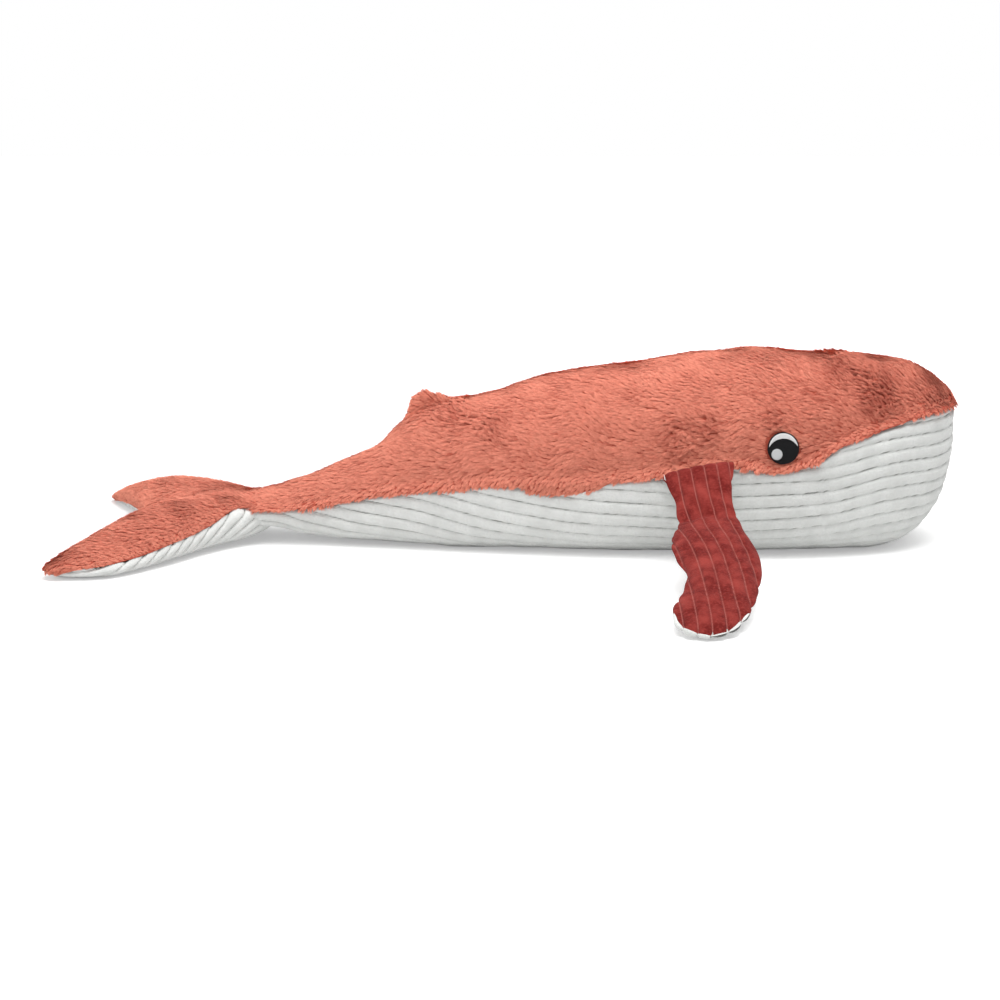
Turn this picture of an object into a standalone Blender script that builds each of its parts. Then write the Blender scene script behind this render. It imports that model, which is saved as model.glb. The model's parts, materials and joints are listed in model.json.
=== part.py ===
"""A plush whale that lies on its belly: a fur back in two halves, a white corduroy belly, two padded side
fins, a small dorsal fin, a tail that bends and a fluke that flaps.

X runs from the flukes to the nose, Y to the whale's left and Z up. The belly rests on Z = 0, and X = 0 is
halfway between the nose and the fluke tips. Every length is in metres. A value or table whose name ends in
share or shares is a share of the size that it follows. The tables of the body go by the share of the body's
length, from the fluke seam at 0 to the nose at 1, those of the flukes by the share of their half span, and
those of a side fin by the share of its length.
"""

import math

import bmesh
import bpy
from mathutils import Matrix, Vector

# Cloth and the space between pieces
FUR_THICKNESS = 0.004
BELLY_CORD_THICKNESS = 0.003
FIN_CORD_THICKNESS = 0.0022
CLEARANCE = 0.0003
FLOOR_CUT = 0.0005
CUT_OVERRUN = 0.25
MERGE_DISTANCE = 0.00001
SEAM_ROW_SHIFT_SHARE = 0.31

# Body
BODY_LENGTH = 0.470
BODY_WIDTH = 0.146
BACK_HEIGHT = 0.124
NOSE_HEIGHT = 0.0865
TAIL_LIFT = 0.012
BODY_ROWS = 25
BODY_SEGMENTS = 22
INNER_ROWS = 16
INNER_SEGMENTS = 12
NOSE_START_SHARE = 0.80
NOSE_ROWS_SHARE = 0.34
REAR_OVERRUN_SHARE = 0.05
BROW_START_SHARE = 0.83
BROW_POWER = 2.45
CHIN_START_SHARE = 0.86
CHIN_POWER = 2.6
CHEEK_START_SHARE = 0.72
CHEEK_POWER = 2.3
UNDERSIDE_POWER = 3.9
BACK_POWER = 2.1

# Shares of BACK_HEIGHT
BACK_SHARES = (
    (-0.05, 0.235), (0.0, 0.254), (0.08, 0.335), (0.136, 0.41), (0.165, 0.462), (0.193, 0.515),
    (0.222, 0.618), (0.25, 0.69), (0.28, 0.735), (0.308, 0.762), (0.336, 0.792), (0.365, 0.81),
    (0.393, 0.843), (0.449, 0.90), (0.505, 0.94), (0.561, 0.958), (0.617, 0.99), (0.673, 1.012),
    (0.72, 1.03), (0.78, 1.016), (0.84, 1.005), (0.88, 1.01), (1.0, 1.01),
)
# Shares of TAIL_LIFT
UNDERSIDE_SHARES = (
    (-0.05, 1.1), (0.0, 1.0), (0.05, 0.86), (0.09, 0.42), (0.125, 0.30), (0.185, 0.19), (0.25, 0.08),
    (0.32, 0.0), (1.0, 0.0),
)
# Shares of half the BODY_WIDTH
WIDTH_SHARES = (
    (-0.05, 0.345), (0.0, 0.356), (0.08, 0.40), (0.18, 0.52), (0.295, 0.685), (0.375, 0.795),
    (0.49, 0.918), (0.60, 0.98), (0.72, 1.0), (1.0, 1.0),
)
# Shares of NOSE_HEIGHT
WIDEST_SHARES = (
    (-0.05, 0.24), (0.0, 0.26), (0.125, 0.31), (0.295, 0.49), (0.49, 0.58), (0.70, 0.64), (0.85, 0.77),
    (1.0, 1.0),
)
SEAM_SHARES = (
    (-0.10, 0.27), (0.0, 0.275), (0.08, 0.30), (0.17, 0.40), (0.224, 0.46), (0.30, 0.515), (0.36, 0.55),
    (0.44, 0.55), (0.50, 0.595), (0.574, 0.66), (0.674, 0.725), (0.736, 0.665), (0.787, 0.735),
    (0.815, 0.83), (0.859, 0.945), (0.903, 1.0), (0.953, 1.02), (1.0, 1.01), (1.1, 1.01),
)

# Bends of the tail and of the fluke
TAIL_BEND_SHARE = 0.158
TAIL_BEND_LEAN_DEG = 8.5
FLUKE_BEND_LEAN_DEG = 13.5

# Flukes
FLUKE_LENGTH = 0.110
FLUKE_HALF_SPAN = 0.118
FLUKE_THICKNESS = 0.029
FLUKE_ROOT_HEIGHT = 0.022
FLUKE_TRAIL_DROP = 0.007
FLUKE_ROWS = 16
FLUKE_SEGMENTS = 10
FLUKE_SEAM_STEPS = 8
FLUKE_EDGE_POWER = 1.25
FLUKE_UNDER_POWER = 0.6
FLUKE_LAST_SHARE = 0.98
# Shares of FLUKE_LENGTH, measured back from the fluke seam
FLUKE_LEAD_SHARES = (
    (0.0, -0.24), (0.15, -0.18), (0.25, -0.06), (0.34, 0.05), (0.45, 0.155), (0.564, 0.24), (0.70, 0.345),
    (0.88, 0.515), (0.96, 0.63), (1.0, 0.79),
)
FLUKE_TRAIL_SHARES = (
    (0.0, 0.54), (0.12, 0.59), (0.25, 0.68), (0.5, 0.80), (0.69, 0.91), (0.83, 0.98), (0.93, 1.0),
    (0.98, 0.94), (1.0, 0.79),
)
# Shares of half the FLUKE_THICKNESS
FLUKE_THICKNESS_SHARES = (
    (0.0, 0.74), (0.25, 0.84), (0.45, 1.0), (0.70, 0.83), (0.90, 0.52), (0.97, 0.33), (1.0, 0.0),
)
# Shares of the height of the flukes' edge seam, by which the underside lies below it
FLUKE_UNDER_SHARES = ((0.0, 0.50), (0.12, 0.74), (0.22, 0.90), (0.45, 0.93), (0.90, 0.90), (0.97, 0.6), (1.0, 0.0))
# Shares of FLUKE_ROOT_HEIGHT
FLUKE_HEIGHT_SHARES = ((0.0, 1.0), (0.25, 0.93), (0.45, 0.75), (0.70, 0.57), (0.90, 0.40), (1.0, 0.32))

# Side fins
FIN_LENGTH = 0.191
FIN_WIDTH = 0.050
FIN_THICKNESS = 0.013
FIN_ROOT_THICKNESS = 0.0085
FIN_ROOT_SHARE = 0.627
FIN_ROOT_HEIGHT = 0.0615
TRUNK_FACET_DEPTH = 0.0008
FIN_ROOT_TILT_DEG = 11.0
FIN_ROOT_DROP_DEG = 34.0
FIN_TIP_DROP_DEG = 13.5
FIN_CREASE_SHARE = 0.23
FIN_CREASE_REACH_SHARE = 0.10
FIN_TILT_REACH_SHARE = 0.5
FIN_ROWS = 14
FIN_SEGMENTS = 8
FIN_ROOT_ROWS = 3
FIN_EDGE_POWER = 1.3
FIN_STEPS = 60
# Shares of FIN_WIDTH, measured forwards from the middle of the root
FIN_LEAD_SHARES = (
    (0.0, 0.44), (0.07, 0.40), (0.14, 0.37), (0.21, 0.40), (0.31, 0.44), (0.42, 0.51), (0.53, 0.55),
    (0.63, 0.53), (0.73, 0.45), (0.84, 0.32), (0.91, 0.18), (0.97, 0.0), (1.0, -0.19),
)
FIN_TRAIL_SHARES = (
    (0.0, -0.44), (0.07, -0.35), (0.14, -0.29), (0.21, -0.29), (0.31, -0.37), (0.42, -0.44), (0.53, -0.40),
    (0.63, -0.35), (0.73, -0.42), (0.84, -0.54), (0.91, -0.53), (0.97, -0.41), (1.0, -0.19),
)
# Shares of half the FIN_THICKNESS
FIN_THICKNESS_SHARES = (
    (0.0, 0.66), (0.10, 0.74), (0.23, 0.80), (0.45, 1.0), (0.75, 0.92), (0.93, 0.6), (1.0, 0.0),
)

# Dorsal fin
DORSAL_REAR_SHARE = 0.233
DORSAL_FRONT_SHARE = 0.307
DORSAL_HEIGHT = 0.0085
DORSAL_THICKNESS = 0.008
DORSAL_CLOTH_THICKNESS = 0.002
DORSAL_ROWS = 8
DORSAL_SEGMENTS = 8
DORSAL_END_POWER = 2.4
# Shares of DORSAL_HEIGHT along the base, from the rear
DORSAL_SHARES = ((0.0, 0.5), (0.12, 0.85), (0.25, 1.0), (0.45, 0.85), (0.7, 0.55), (1.0, 0.4))

# Eyes
EYE_SHARE = 0.742
EYE_HEIGHT = 0.0735
EYE_DIAMETER = 0.020
EYE_THREAD_THICKNESS = 0.0009
GLINT_DIAMETER = 0.0068
GLINT_BACK = 0.0041
GLINT_DOWN = 0.0034
CRESCENT_WIDTH = 0.0038
CRESCENT_RIM = 0.0006
CRESCENT_START_DEG = 18.0
CRESCENT_END_DEG = 172.0
CRESCENT_BLUNT_SHARE = 0.04
EYE_FACE_POWER = 0.35
THREAD_ROWS = 4
BLACK_SEGMENTS = 16
CRESCENT_SEGMENTS = 14
GLINT_SEGMENTS = 10

# Places that follow from the sizes above
CUT_REACH = 2 * CUT_OVERRUN
OVERALL_LENGTH = BODY_LENGTH + FLUKE_LENGTH
FLUKE_SEAM_X = FLUKE_LENGTH - OVERALL_LENGTH / 2


def share_at(shares, at):
    """The value at a place along a table, on a smooth curve through its points."""
    if at <= shares[0][0]:
        return shares[0][1]
    if at >= shares[-1][0]:
        return shares[-1][1]
    last = len(shares) - 1
    i = next(k for k in range(last) if at <= shares[k + 1][0])
    slopes = [(shares[k + 1][1] - shares[k][1]) / (shares[k + 1][0] - shares[k][0]) for k in range(last)]

    def tangent(k):
        if k in (0, last):
            return slopes[min(k, last - 1)]
        before, after = slopes[k - 1], slopes[k]
        if before * after <= 0:
            return 0.0
        return 2 * before * after / (before + after)

    start, end = shares[i], shares[i + 1]
    span = end[0] - start[0]
    t = (at - start[0]) / span
    return (
        start[1] * (1 + 2 * t) * (1 - t) ** 2
        + end[1] * t * t * (3 - 2 * t)
        + span * tangent(i) * t * (1 - t) ** 2
        + span * tangent(i + 1) * t * t * (t - 1)
    )


def rounded_end(at, start, power):
    """1 up to start, then down to 0 at 1 along a round end."""
    if at <= start:
        return 1.0
    return (1 - min((at - start) / (1 - start), 1.0) ** power) ** (1 / power)


def signed_power(value, power):
    return math.copysign(abs(value) ** power, value)


def smooth_step(value):
    t = min(max(value, 0.0), 1.0)
    return t * t * (3 - 2 * t)


def body_x(along, inset=0.0):
    return FLUKE_SEAM_X + along * (BODY_LENGTH - inset)


def body_section(along, inset=0.0):
    """Half width, top, underside and widest height of the body's section, this far inside its surface."""
    half_width = BODY_WIDTH / 2 * share_at(WIDTH_SHARES, along) - inset
    half_width *= rounded_end(along, CHEEK_START_SHARE, CHEEK_POWER)
    back = BACK_HEIGHT * share_at(BACK_SHARES, along) - inset
    top = NOSE_HEIGHT + (back - NOSE_HEIGHT) * rounded_end(along, BROW_START_SHARE, BROW_POWER)
    under = TAIL_LIFT * share_at(UNDERSIDE_SHARES, along) - FLOOR_CUT + inset
    bottom = NOSE_HEIGHT + (under - NOSE_HEIGHT) * rounded_end(along, CHIN_START_SHARE, CHIN_POWER)
    if along < BROW_START_SHARE:
        top = back
    widest = min(max(NOSE_HEIGHT * share_at(WIDEST_SHARES, along), bottom), top)
    return half_width, top, bottom, widest


def body_point(along, around, inset=0.0):
    """A point of the body's surface. around is the angle up from the belly's middle, over the right side."""
    half_width, top, bottom, widest = body_section(along, inset)
    side, up = math.sin(around), -math.cos(around)
    power = 2 / (BACK_POWER if up > 0 else UNDERSIDE_POWER)
    reach = top - widest if up > 0 else widest - bottom
    return Vector((
        body_x(along, inset),
        -half_width * signed_power(side, power),
        widest + reach * signed_power(up, power),
    ))


def seam_height(along):
    return NOSE_HEIGHT * share_at(SEAM_SHARES, along)


def side_point(x, z, lift=0.0):
    """The point of the body's right side at this X and Z, lifted off the surface along its normal."""

    def half_width_at(place_x, place_z):
        half_width, top, bottom, widest = body_section((place_x - FLUKE_SEAM_X) / BODY_LENGTH)
        above = place_z > widest
        power = BACK_POWER if above else UNDERSIDE_POWER
        reach = top - widest if above else widest - bottom
        share = min(abs(place_z - widest) / reach, 1.0)
        return half_width * (1 - share**power) ** (1 / power)

    step = CLEARANCE
    here = half_width_at(x, z)
    slope_x = (half_width_at(x + step, z) - half_width_at(x - step, z)) / (2 * step)
    slope_z = (half_width_at(x, z + step) - half_width_at(x, z - step)) / (2 * step)
    normal = Vector((-slope_x, -1.0, -slope_z)).normalized()
    return Vector((x, -here, z)) + lift * normal, normal


def make_collection(name):
    collection = bpy.data.collections.new(name)
    bpy.context.scene.collection.children.link(collection)
    return collection


def make_material(name, colour, roughness, sheen):
    """A Principled material for one cloth, thread or filling."""
    material = bpy.data.materials.new(name)
    material.use_nodes = True
    shader = material.node_tree.nodes["Principled BSDF"]
    shader.inputs["Base Color"].default_value = (*colour, 1.0)
    shader.inputs["Roughness"].default_value = roughness
    shader.inputs["Metallic"].default_value = 0.0
    shader.inputs["Sheen Weight"].default_value = sheen
    material.diffuse_color = (*colour, 1.0)
    return material


def add_object(name, mesh, collection, material=None):
    made = bpy.data.objects.new(name, mesh)
    collection.objects.link(made)
    if material is not None and not mesh.materials:
        mesh.materials.append(material)
    return made


def mesh_from(bm, name, symmetric=False):
    """The bmesh as a smooth mesh of triangles, split alike in like forms, whose faces point outwards."""
    bmesh.ops.triangulate(bm, faces=bm.faces, quad_method="FIXED")
    if symmetric:
        whole = bm.verts[:] + bm.edges[:] + bm.faces[:]
        bmesh.ops.symmetrize(bm, input=whole, direction="-Y", dist=MERGE_DISTANCE)
    bmesh.ops.recalc_face_normals(bm, faces=bm.faces)
    if bm.calc_volume(signed=True) < 0:
        bmesh.ops.reverse_faces(bm, faces=bm.faces)
    mesh = bpy.data.meshes.new(name)
    bm.to_mesh(mesh)
    bm.free()
    mesh.shade_smooth()
    return mesh


def shaped_ball(name, rows, segments, place, symmetric=False):
    """A closed form made from a sphere: place gives the point for a share from pole to pole and an angle."""
    bm = bmesh.new()
    bmesh.ops.create_uvsphere(bm, u_segments=segments, v_segments=rows, radius=1.0)
    for vert in bm.verts:
        from_pole = math.acos(min(max(vert.co.z, -1.0), 1.0)) / math.pi
        vert.co = place(from_pole, math.atan2(vert.co.y, vert.co.x))
    return mesh_from(bm, name, symmetric)


def shaped_sheet(name, long_steps, cross_steps, place, thickness, symmetric=False):
    """A slab made from a grid: place gives the point for the two shares, and thickness is a vector."""
    bm = bmesh.new()
    bmesh.ops.create_grid(bm, x_segments=long_steps, y_segments=cross_steps, size=1.0)
    for vert in bm.verts:
        vert.co = place((vert.co.x + 1) / 2, (vert.co.y + 1) / 2)
    moved = bmesh.ops.extrude_face_region(bm, geom=bm.faces[:])["geom"]
    raised = [item for item in moved if isinstance(item, bmesh.types.BMVert)]
    bmesh.ops.translate(bm, verts=raised, vec=thickness)
    return mesh_from(bm, name, symmetric)


def seam_row(share, rows):
    """A row of a seam's cutter, set between two rows of the form that it cuts, except at the ends."""
    return share + SEAM_ROW_SHIFT_SHARE / rows if 0 < share < 1 else share


def box_mesh(name, low, high):
    bm = bmesh.new()
    bmesh.ops.create_cube(bm, size=1.0)
    bmesh.ops.scale(bm, verts=bm.verts, vec=high - low)
    bmesh.ops.translate(bm, verts=bm.verts, vec=(low + high) / 2)
    return mesh_from(bm, name)


def wedge_mesh(name, bend, lean_deg, direction):
    """All beyond a blunt wedge whose edge is a bend's hinge line. direction is +1 towards the nose."""
    x, z = bend.x, bend.z
    edge = x - direction * CLEARANCE / 2
    lean = direction * CUT_OVERRUN * math.tan(math.radians(lean_deg))
    far = x + direction * 2 * CUT_REACH
    outline = (
        (edge, z), (edge - lean, z + CUT_OVERRUN), (far, z + CUT_OVERRUN),
        (far, z - CUT_OVERRUN), (edge - lean, z - CUT_OVERRUN),
    )
    bm = bmesh.new()
    face = bm.faces.new([bm.verts.new((px, -CUT_OVERRUN, pz)) for px, pz in outline])
    moved = bmesh.ops.extrude_face_region(bm, geom=[face])["geom"]
    raised = [item for item in moved if isinstance(item, bmesh.types.BMVert)]
    bmesh.ops.translate(bm, verts=raised, vec=(0, CUT_REACH, 0))
    return mesh_from(bm, name)


def add_cutter(name, mesh, cutters):
    cutter = add_object(name, mesh, cutters)
    cutter.hide_render = True
    cutter.display_type = "WIRE"
    return cutter


def add_wedge(name, bend, lean_deg, direction, cutters):
    return add_cutter(name, wedge_mesh(name, bend, lean_deg, direction), cutters)


def cut(target, *cutters):
    for cutter in cutters:
        modifier = target.modifiers.new(f"cut by {cutter.name}", "BOOLEAN")
        modifier.operation = "DIFFERENCE"
        modifier.solver = "EXACT"
        modifier.object = cutter


def add_pivot(name, place, collection):
    """An empty on a joint's axis, which carries the pieces that turn about it."""
    pivot = bpy.data.objects.new(name, None)
    pivot.empty_display_size = EYE_DIAMETER
    pivot.location = place
    collection.objects.link(pivot)
    return pivot


def carry(pivot, pieces):
    for piece in pieces:
        piece.parent = pivot
        piece.matrix_parent_inverse = Matrix.Translation(-pivot.location)


def body_along(from_nose):
    """Rows close together at the nose and evenly spaced along the rest of the body."""
    if from_nose < NOSE_ROWS_SHARE:
        turn = math.pi / 2 * from_nose / NOSE_ROWS_SHARE
        return 1 - (1 - NOSE_START_SHARE) * (1 - math.cos(turn))
    back = (from_nose - NOSE_ROWS_SHARE) / (1 - NOSE_ROWS_SHARE)
    return NOSE_START_SHARE - back * (NOSE_START_SHARE + REAR_OVERRUN_SHARE)


def body_mesh(name, inset, rows=INNER_ROWS, segments=INNER_SEGMENTS):
    return shaped_ball(
        name, rows, segments,
        lambda from_nose, around: body_point(body_along(from_nose), around, inset),
        symmetric=True,
    )


def bend_place(along):
    """The hinge line of a bend: halfway up the body's section."""
    _, top, bottom, _ = body_section(along)
    return Vector((body_x(along), 0, (top + bottom) / 2))


def seam_slab(name, side, cutters):
    """All that lies above the side seam, for side +1, or below it, for side -1, with half the clearance."""

    def place(from_nose, across_share):
        along = body_along(seam_row(from_nose, BODY_ROWS))
        if from_nose in (0, 1):
            along += (1 - 2 * from_nose) * REAR_OVERRUN_SHARE
        lift = -side * CLEARANCE / 2
        return Vector((body_x(along), (across_share * 2 - 1) * BODY_WIDTH, seam_height(along) + lift))

    mesh = shaped_sheet(name, BODY_ROWS, 1, place, Vector((0, 0, side * CUT_OVERRUN)))
    return add_cutter(name, mesh, cutters)


def side_box(name, side, cutters):
    """All that lies on the left, for side +1, or on the right, for side -1, with half the clearance."""
    near, far = sorted((-side * CLEARANCE / 2, side * CUT_REACH))
    low, high = Vector((-CUT_REACH, near, -CUT_REACH)), Vector((CUT_REACH, far, CUT_REACH))
    return add_cutter(name, box_mesh(name, low, high), cutters)


def add_body(parts, cutters, materials):
    """The panels and the filling of the trunk and the tail, cut from one body form."""
    outer = body_mesh("body_form", 0.0, BODY_ROWS, BODY_SEGMENTS)
    fur_inside = add_cutter("fur_inside", body_mesh("fur_inside", FUR_THICKNESS), cutters)
    belly_inside = add_cutter("belly_inside", body_mesh("belly_inside", BELLY_CORD_THICKNESS), cutters)
    filling = body_mesh("filling_form", max(FUR_THICKNESS, BELLY_CORD_THICKNESS) + CLEARANCE)
    above_seam = seam_slab("above_seam", 1, cutters)
    below_seam = seam_slab("below_seam", -1, cutters)
    side_boxes = {"right": side_box("left_side", 1, cutters), "left": side_box("right_side", -1, cutters)}
    floor = box_mesh("under_floor", Vector((-CUT_REACH,) * 3), Vector((CUT_REACH, CUT_REACH, 0)))
    under_floor = add_cutter("under_floor", floor, cutters)

    bend = bend_place(TAIL_BEND_SHARE)
    behind_bend = add_wedge("behind_tail_bend", bend, TAIL_BEND_LEAN_DEG, -1, cutters)
    ahead_of_bend = add_wedge("ahead_of_tail_bend", bend, TAIL_BEND_LEAN_DEG, 1, cutters)
    behind_seam = add_wedge("behind_fluke_bend", bend_place(0.0), FLUKE_BEND_LEAN_DEG, -1, cutters)

    ends = {"trunk": (behind_bend,), "tail": (ahead_of_bend, behind_seam)}
    made = {}
    for part, end_cutters in ends.items():
        made[part] = []
        for side, other_side in side_boxes.items():
            panel = add_object(f"{part}_back_{side}", outer.copy(), parts, materials["fur"])
            cut(panel, *end_cutters, below_seam, other_side, fur_inside)
            made[part].append(panel)
        belly = add_object(f"{part}_belly", outer.copy(), parts, materials["white cord"])
        cut(belly, *end_cutters, above_seam, belly_inside, under_floor)
        stuffing = add_object(f"{part}_filling", filling.copy(), parts, materials["filling"])
        cut(stuffing, *end_cutters)
        made[part] += [belly, stuffing]
    pivot = add_pivot("tail_bend_pivot", bend, parts)
    carry(pivot, made["tail"])


def fluke_edges(out):
    """X of the leading and trailing edge, this share of the half span out from the middle."""
    lead = FLUKE_SEAM_X - FLUKE_LENGTH * share_at(FLUKE_LEAD_SHARES, out)
    return lead, FLUKE_SEAM_X - FLUKE_LENGTH * share_at(FLUKE_TRAIL_SHARES, out)


def fluke_middle(out, back):
    """Height of the surface halfway through the fluke, this share of the way back from its leading edge."""
    drop = FLUKE_TRAIL_DROP * (1 - out) * max(back, 0) ** 2
    return FLUKE_ROOT_HEIGHT * share_at(FLUKE_HEIGHT_SHARES, out) - drop


def fluke_point(across, around, inset=0.0):
    """A point of the flukes' surface. across runs from -1 at the right tip to 1 at the left one."""
    out = abs(across)
    lead, trail = fluke_edges(out)
    chord = (lead - trail) / 2 * (1 - inset / (FLUKE_LENGTH / 2))
    middle = fluke_middle(out, (1 - math.cos(around)) / 2)
    inner_share = 1 - inset / (FLUKE_THICKNESS / 2)
    up = math.sin(around)
    if up > 0:
        lift = FLUKE_THICKNESS / 2 * share_at(FLUKE_THICKNESS_SHARES, out) * up**FLUKE_EDGE_POWER
    else:
        lift = middle * share_at(FLUKE_UNDER_SHARES, out) * signed_power(up, FLUKE_UNDER_POWER)
    return Vector((
        (lead + trail) / 2 + chord * math.cos(around),
        across * (FLUKE_HALF_SPAN - inset),
        middle + lift * inner_share,
    ))


def fluke_mesh(name, inset):
    return shaped_ball(
        name, FLUKE_ROWS, FLUKE_SEGMENTS,
        lambda from_tip, around: fluke_point(-math.cos(math.pi * from_tip), around, inset),
        symmetric=True,
    )


def fluke_slab(name, side, cutters):
    """All that lies above, for side +1, or below the flukes' edge seam, with half the clearance."""

    def place(from_tip, across_share):
        across = -math.cos(math.pi * seam_row(from_tip, FLUKE_ROWS))
        out = min(abs(across), FLUKE_LAST_SHARE)
        lead, trail = fluke_edges(out)
        back = across_share * 2 - 1 / 2
        overrun = 1 + REAR_OVERRUN_SHARE * (from_tip in (0, 1))
        return Vector((
            lead - (lead - trail) * back,
            across * overrun * FLUKE_HALF_SPAN,
            fluke_middle(out, back) - side * CLEARANCE / 2,
        ))

    mesh = shaped_sheet(
        name, FLUKE_ROWS, FLUKE_SEAM_STEPS, place, Vector((0, 0, side * CUT_OVERRUN)), symmetric=True)
    return add_cutter(name, mesh, cutters)


def add_flukes(parts, cutters, materials):
    """Both lobes of the fluke, each with a fur top, a corduroy underside and a filling, on one pivot."""
    bend = bend_place(0.0)
    ahead = add_wedge("ahead_of_fluke_bend", bend, FLUKE_BEND_LEAN_DEG, 1, cutters)
    inside = add_cutter("fluke_inside", fluke_mesh("fluke_inside", BELLY_CORD_THICKNESS), cutters)
    outer = fluke_mesh("fluke_form", 0.0)
    filling = fluke_mesh("fluke_core", BELLY_CORD_THICKNESS + CLEARANCE)
    above = fluke_slab("above_fluke_seam", 1, cutters)
    below = fluke_slab("below_fluke_seam", -1, cutters)
    made = []
    for side, box_name in (("right", "left_side"), ("left", "right_side")):
        other_side = bpy.data.objects[box_name]
        top = add_object(f"fluke_top_{side}", outer.copy(), parts, materials["fur"])
        cut(top, ahead, other_side, below, inside)
        under = add_object(f"fluke_under_{side}", outer.copy(), parts, materials["white cord"])
        cut(under, ahead, other_side, above, inside)
        stuffing = add_object(f"fluke_filling_{side}", filling.copy(), parts, materials["filling"])
        cut(stuffing, ahead, other_side)
        made += [top, under, stuffing]
    pivot = add_pivot("fluke_bend_pivot", bend, parts)
    carry(pivot, made)
    pivot.parent = bpy.data.objects["tail_bend_pivot"]
    pivot.matrix_parent_inverse = Matrix.Translation(-pivot.parent.location)


def fin_root():
    """The middle of the right fin's hinge line, which the flat facets of the trunk's side let come nearer."""
    radius = FIN_ROOT_THICKNESS / 2
    return side_point(body_x(FIN_ROOT_SHARE), FIN_ROOT_HEIGHT, radius + CLEARANCE - TRUNK_FACET_DEPTH)[0]


def fin_drop(along):
    """The fin's slope below level, steep beside the body and flatter past the crease."""
    bend = smooth_step((along - FIN_CREASE_SHARE) / (2 * FIN_CREASE_REACH_SHARE) + 1 / 2)
    return math.radians(FIN_ROOT_DROP_DEG + (FIN_TIP_DROP_DEG - FIN_ROOT_DROP_DEG) * bend)


def fin_spine(distance):
    """How far out and down the fin's middle line is, this far from the hinge line, and its slope there."""
    step = distance / FIN_STEPS
    middles = [fin_drop((k + 1 / 2) * step / FIN_LENGTH) for k in range(FIN_STEPS)]
    out = sum(math.cos(drop) for drop in middles) * step
    down = sum(math.sin(drop) for drop in middles) * step
    return out, down, fin_drop(distance / FIN_LENGTH)


def fin_place(distance, forward, lift):
    """The point of the right fin this far from its hinge line, forward of its middle and above its spine."""
    root = fin_root()
    out, down, drop = fin_spine(distance)
    tilt = math.tan(math.radians(FIN_ROOT_TILT_DEG))
    tilt *= 1 - smooth_step(distance / FIN_LENGTH / FIN_TILT_REACH_SHARE)
    return Vector((
        root.x + forward,
        root.y - out - lift * math.sin(drop),
        root.z - down + lift * math.cos(drop) + forward * tilt,
    ))


def fin_distance(from_root, inset=0.0):
    """How far a row of the fin is from its hinge line, and the share of its thickness left at its root."""
    root_rows_share = FIN_ROOT_ROWS / FIN_ROWS
    if from_root < root_rows_share:
        turn = math.pi / 2 * from_root / root_rows_share
        return -(FIN_ROOT_THICKNESS / 2 - inset) * math.cos(turn), math.sin(turn)
    from_end = (from_root - root_rows_share) / (1 - root_rows_share)
    return (FIN_LENGTH - inset) * math.sin(math.pi / 2 * from_end), 1.0


def fin_point(from_root, around, inset=0.0):
    """A point of the right fin's surface, from its round root to its tip."""
    distance, round_share = fin_distance(from_root, inset)
    along = max(distance, 0) / (FIN_LENGTH - inset)
    lead = FIN_WIDTH * share_at(FIN_LEAD_SHARES, along)
    trail = FIN_WIDTH * share_at(FIN_TRAIL_SHARES, along)
    chord = (lead - trail) / 2 * (1 - inset / (FIN_WIDTH / 2))
    thickness = (FIN_THICKNESS / 2 - inset) * share_at(FIN_THICKNESS_SHARES, along) * round_share
    if from_root == 0:
        chord = 0
    return fin_place(
        distance,
        (lead + trail) / 2 + chord * math.cos(around),
        thickness * signed_power(math.sin(around), FIN_EDGE_POWER),
    )


def fin_mesh(name, inset):
    return shaped_ball(
        name, FIN_ROWS, FIN_SEGMENTS,
        lambda from_root, around: fin_point(from_root, around, inset),
    )


def fin_slab(name, side, cutters):
    """All that lies above, for side +1, or below the fin's edge seam, with half the clearance."""

    def place(from_root, across_share):
        distance = fin_distance(seam_row(from_root, FIN_ROWS))[0]
        if from_root in (0, 1):
            distance += (2 * from_root - 1) * REAR_OVERRUN_SHARE * FIN_LENGTH
        return fin_place(distance, (across_share * 2 - 1) * FIN_WIDTH, -side * CLEARANCE / 2)

    mesh = shaped_sheet(name, FIN_ROWS, 1, place, Vector((0, 0, side * CUT_OVERRUN)))
    return add_cutter(name, mesh, cutters)


def mirrored(mesh, name):
    """The mesh on the other side of the whale's middle plane."""
    bm = bmesh.new()
    bm.from_mesh(mesh)
    bmesh.ops.scale(bm, verts=bm.verts, vec=(1.0, -1.0, 1.0))
    return mesh_from(bm, name)


def add_fins(parts, cutters, materials):
    """A padded fin on each side: a dark corduroy top, a white corduroy underside and a sheet of batting."""
    forms = {
        "form": fin_mesh("fin_form", 0.0),
        "inside": fin_mesh("fin_inside", FIN_CORD_THICKNESS),
        "core": fin_mesh("fin_core", FIN_CORD_THICKNESS + CLEARANCE),
    }
    above = fin_slab("above_right_fin_seam", 1, cutters)
    below = fin_slab("below_right_fin_seam", -1, cutters)
    root = fin_root()
    for side in ("right", "left"):
        if side == "left":
            forms = {key: mirrored(mesh, f"left_{key}") for key, mesh in forms.items()}
        inside = add_cutter(f"{side}_fin_inside", forms["inside"], cutters)
        if side == "left":
            above, below = (
                add_cutter(name, mirrored(cutter.data, name), cutters)
                for name, cutter in (("above_left_fin_seam", above), ("below_left_fin_seam", below)))
        top = add_object(f"{side}_fin_top", forms["form"].copy(), parts, materials["dark cord"])
        cut(top, below, inside)
        under = add_object(f"{side}_fin_under", forms["form"].copy(), parts, materials["white cord"])
        cut(under, above, inside)
        batting = add_object(f"{side}_fin_batting", forms["core"], parts, materials["filling"])
        place = root if side == "right" else Vector((root.x, -root.y, root.z))
        carry(add_pivot(f"{side}_fin_pivot", place, parts), [top, under, batting])


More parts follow.
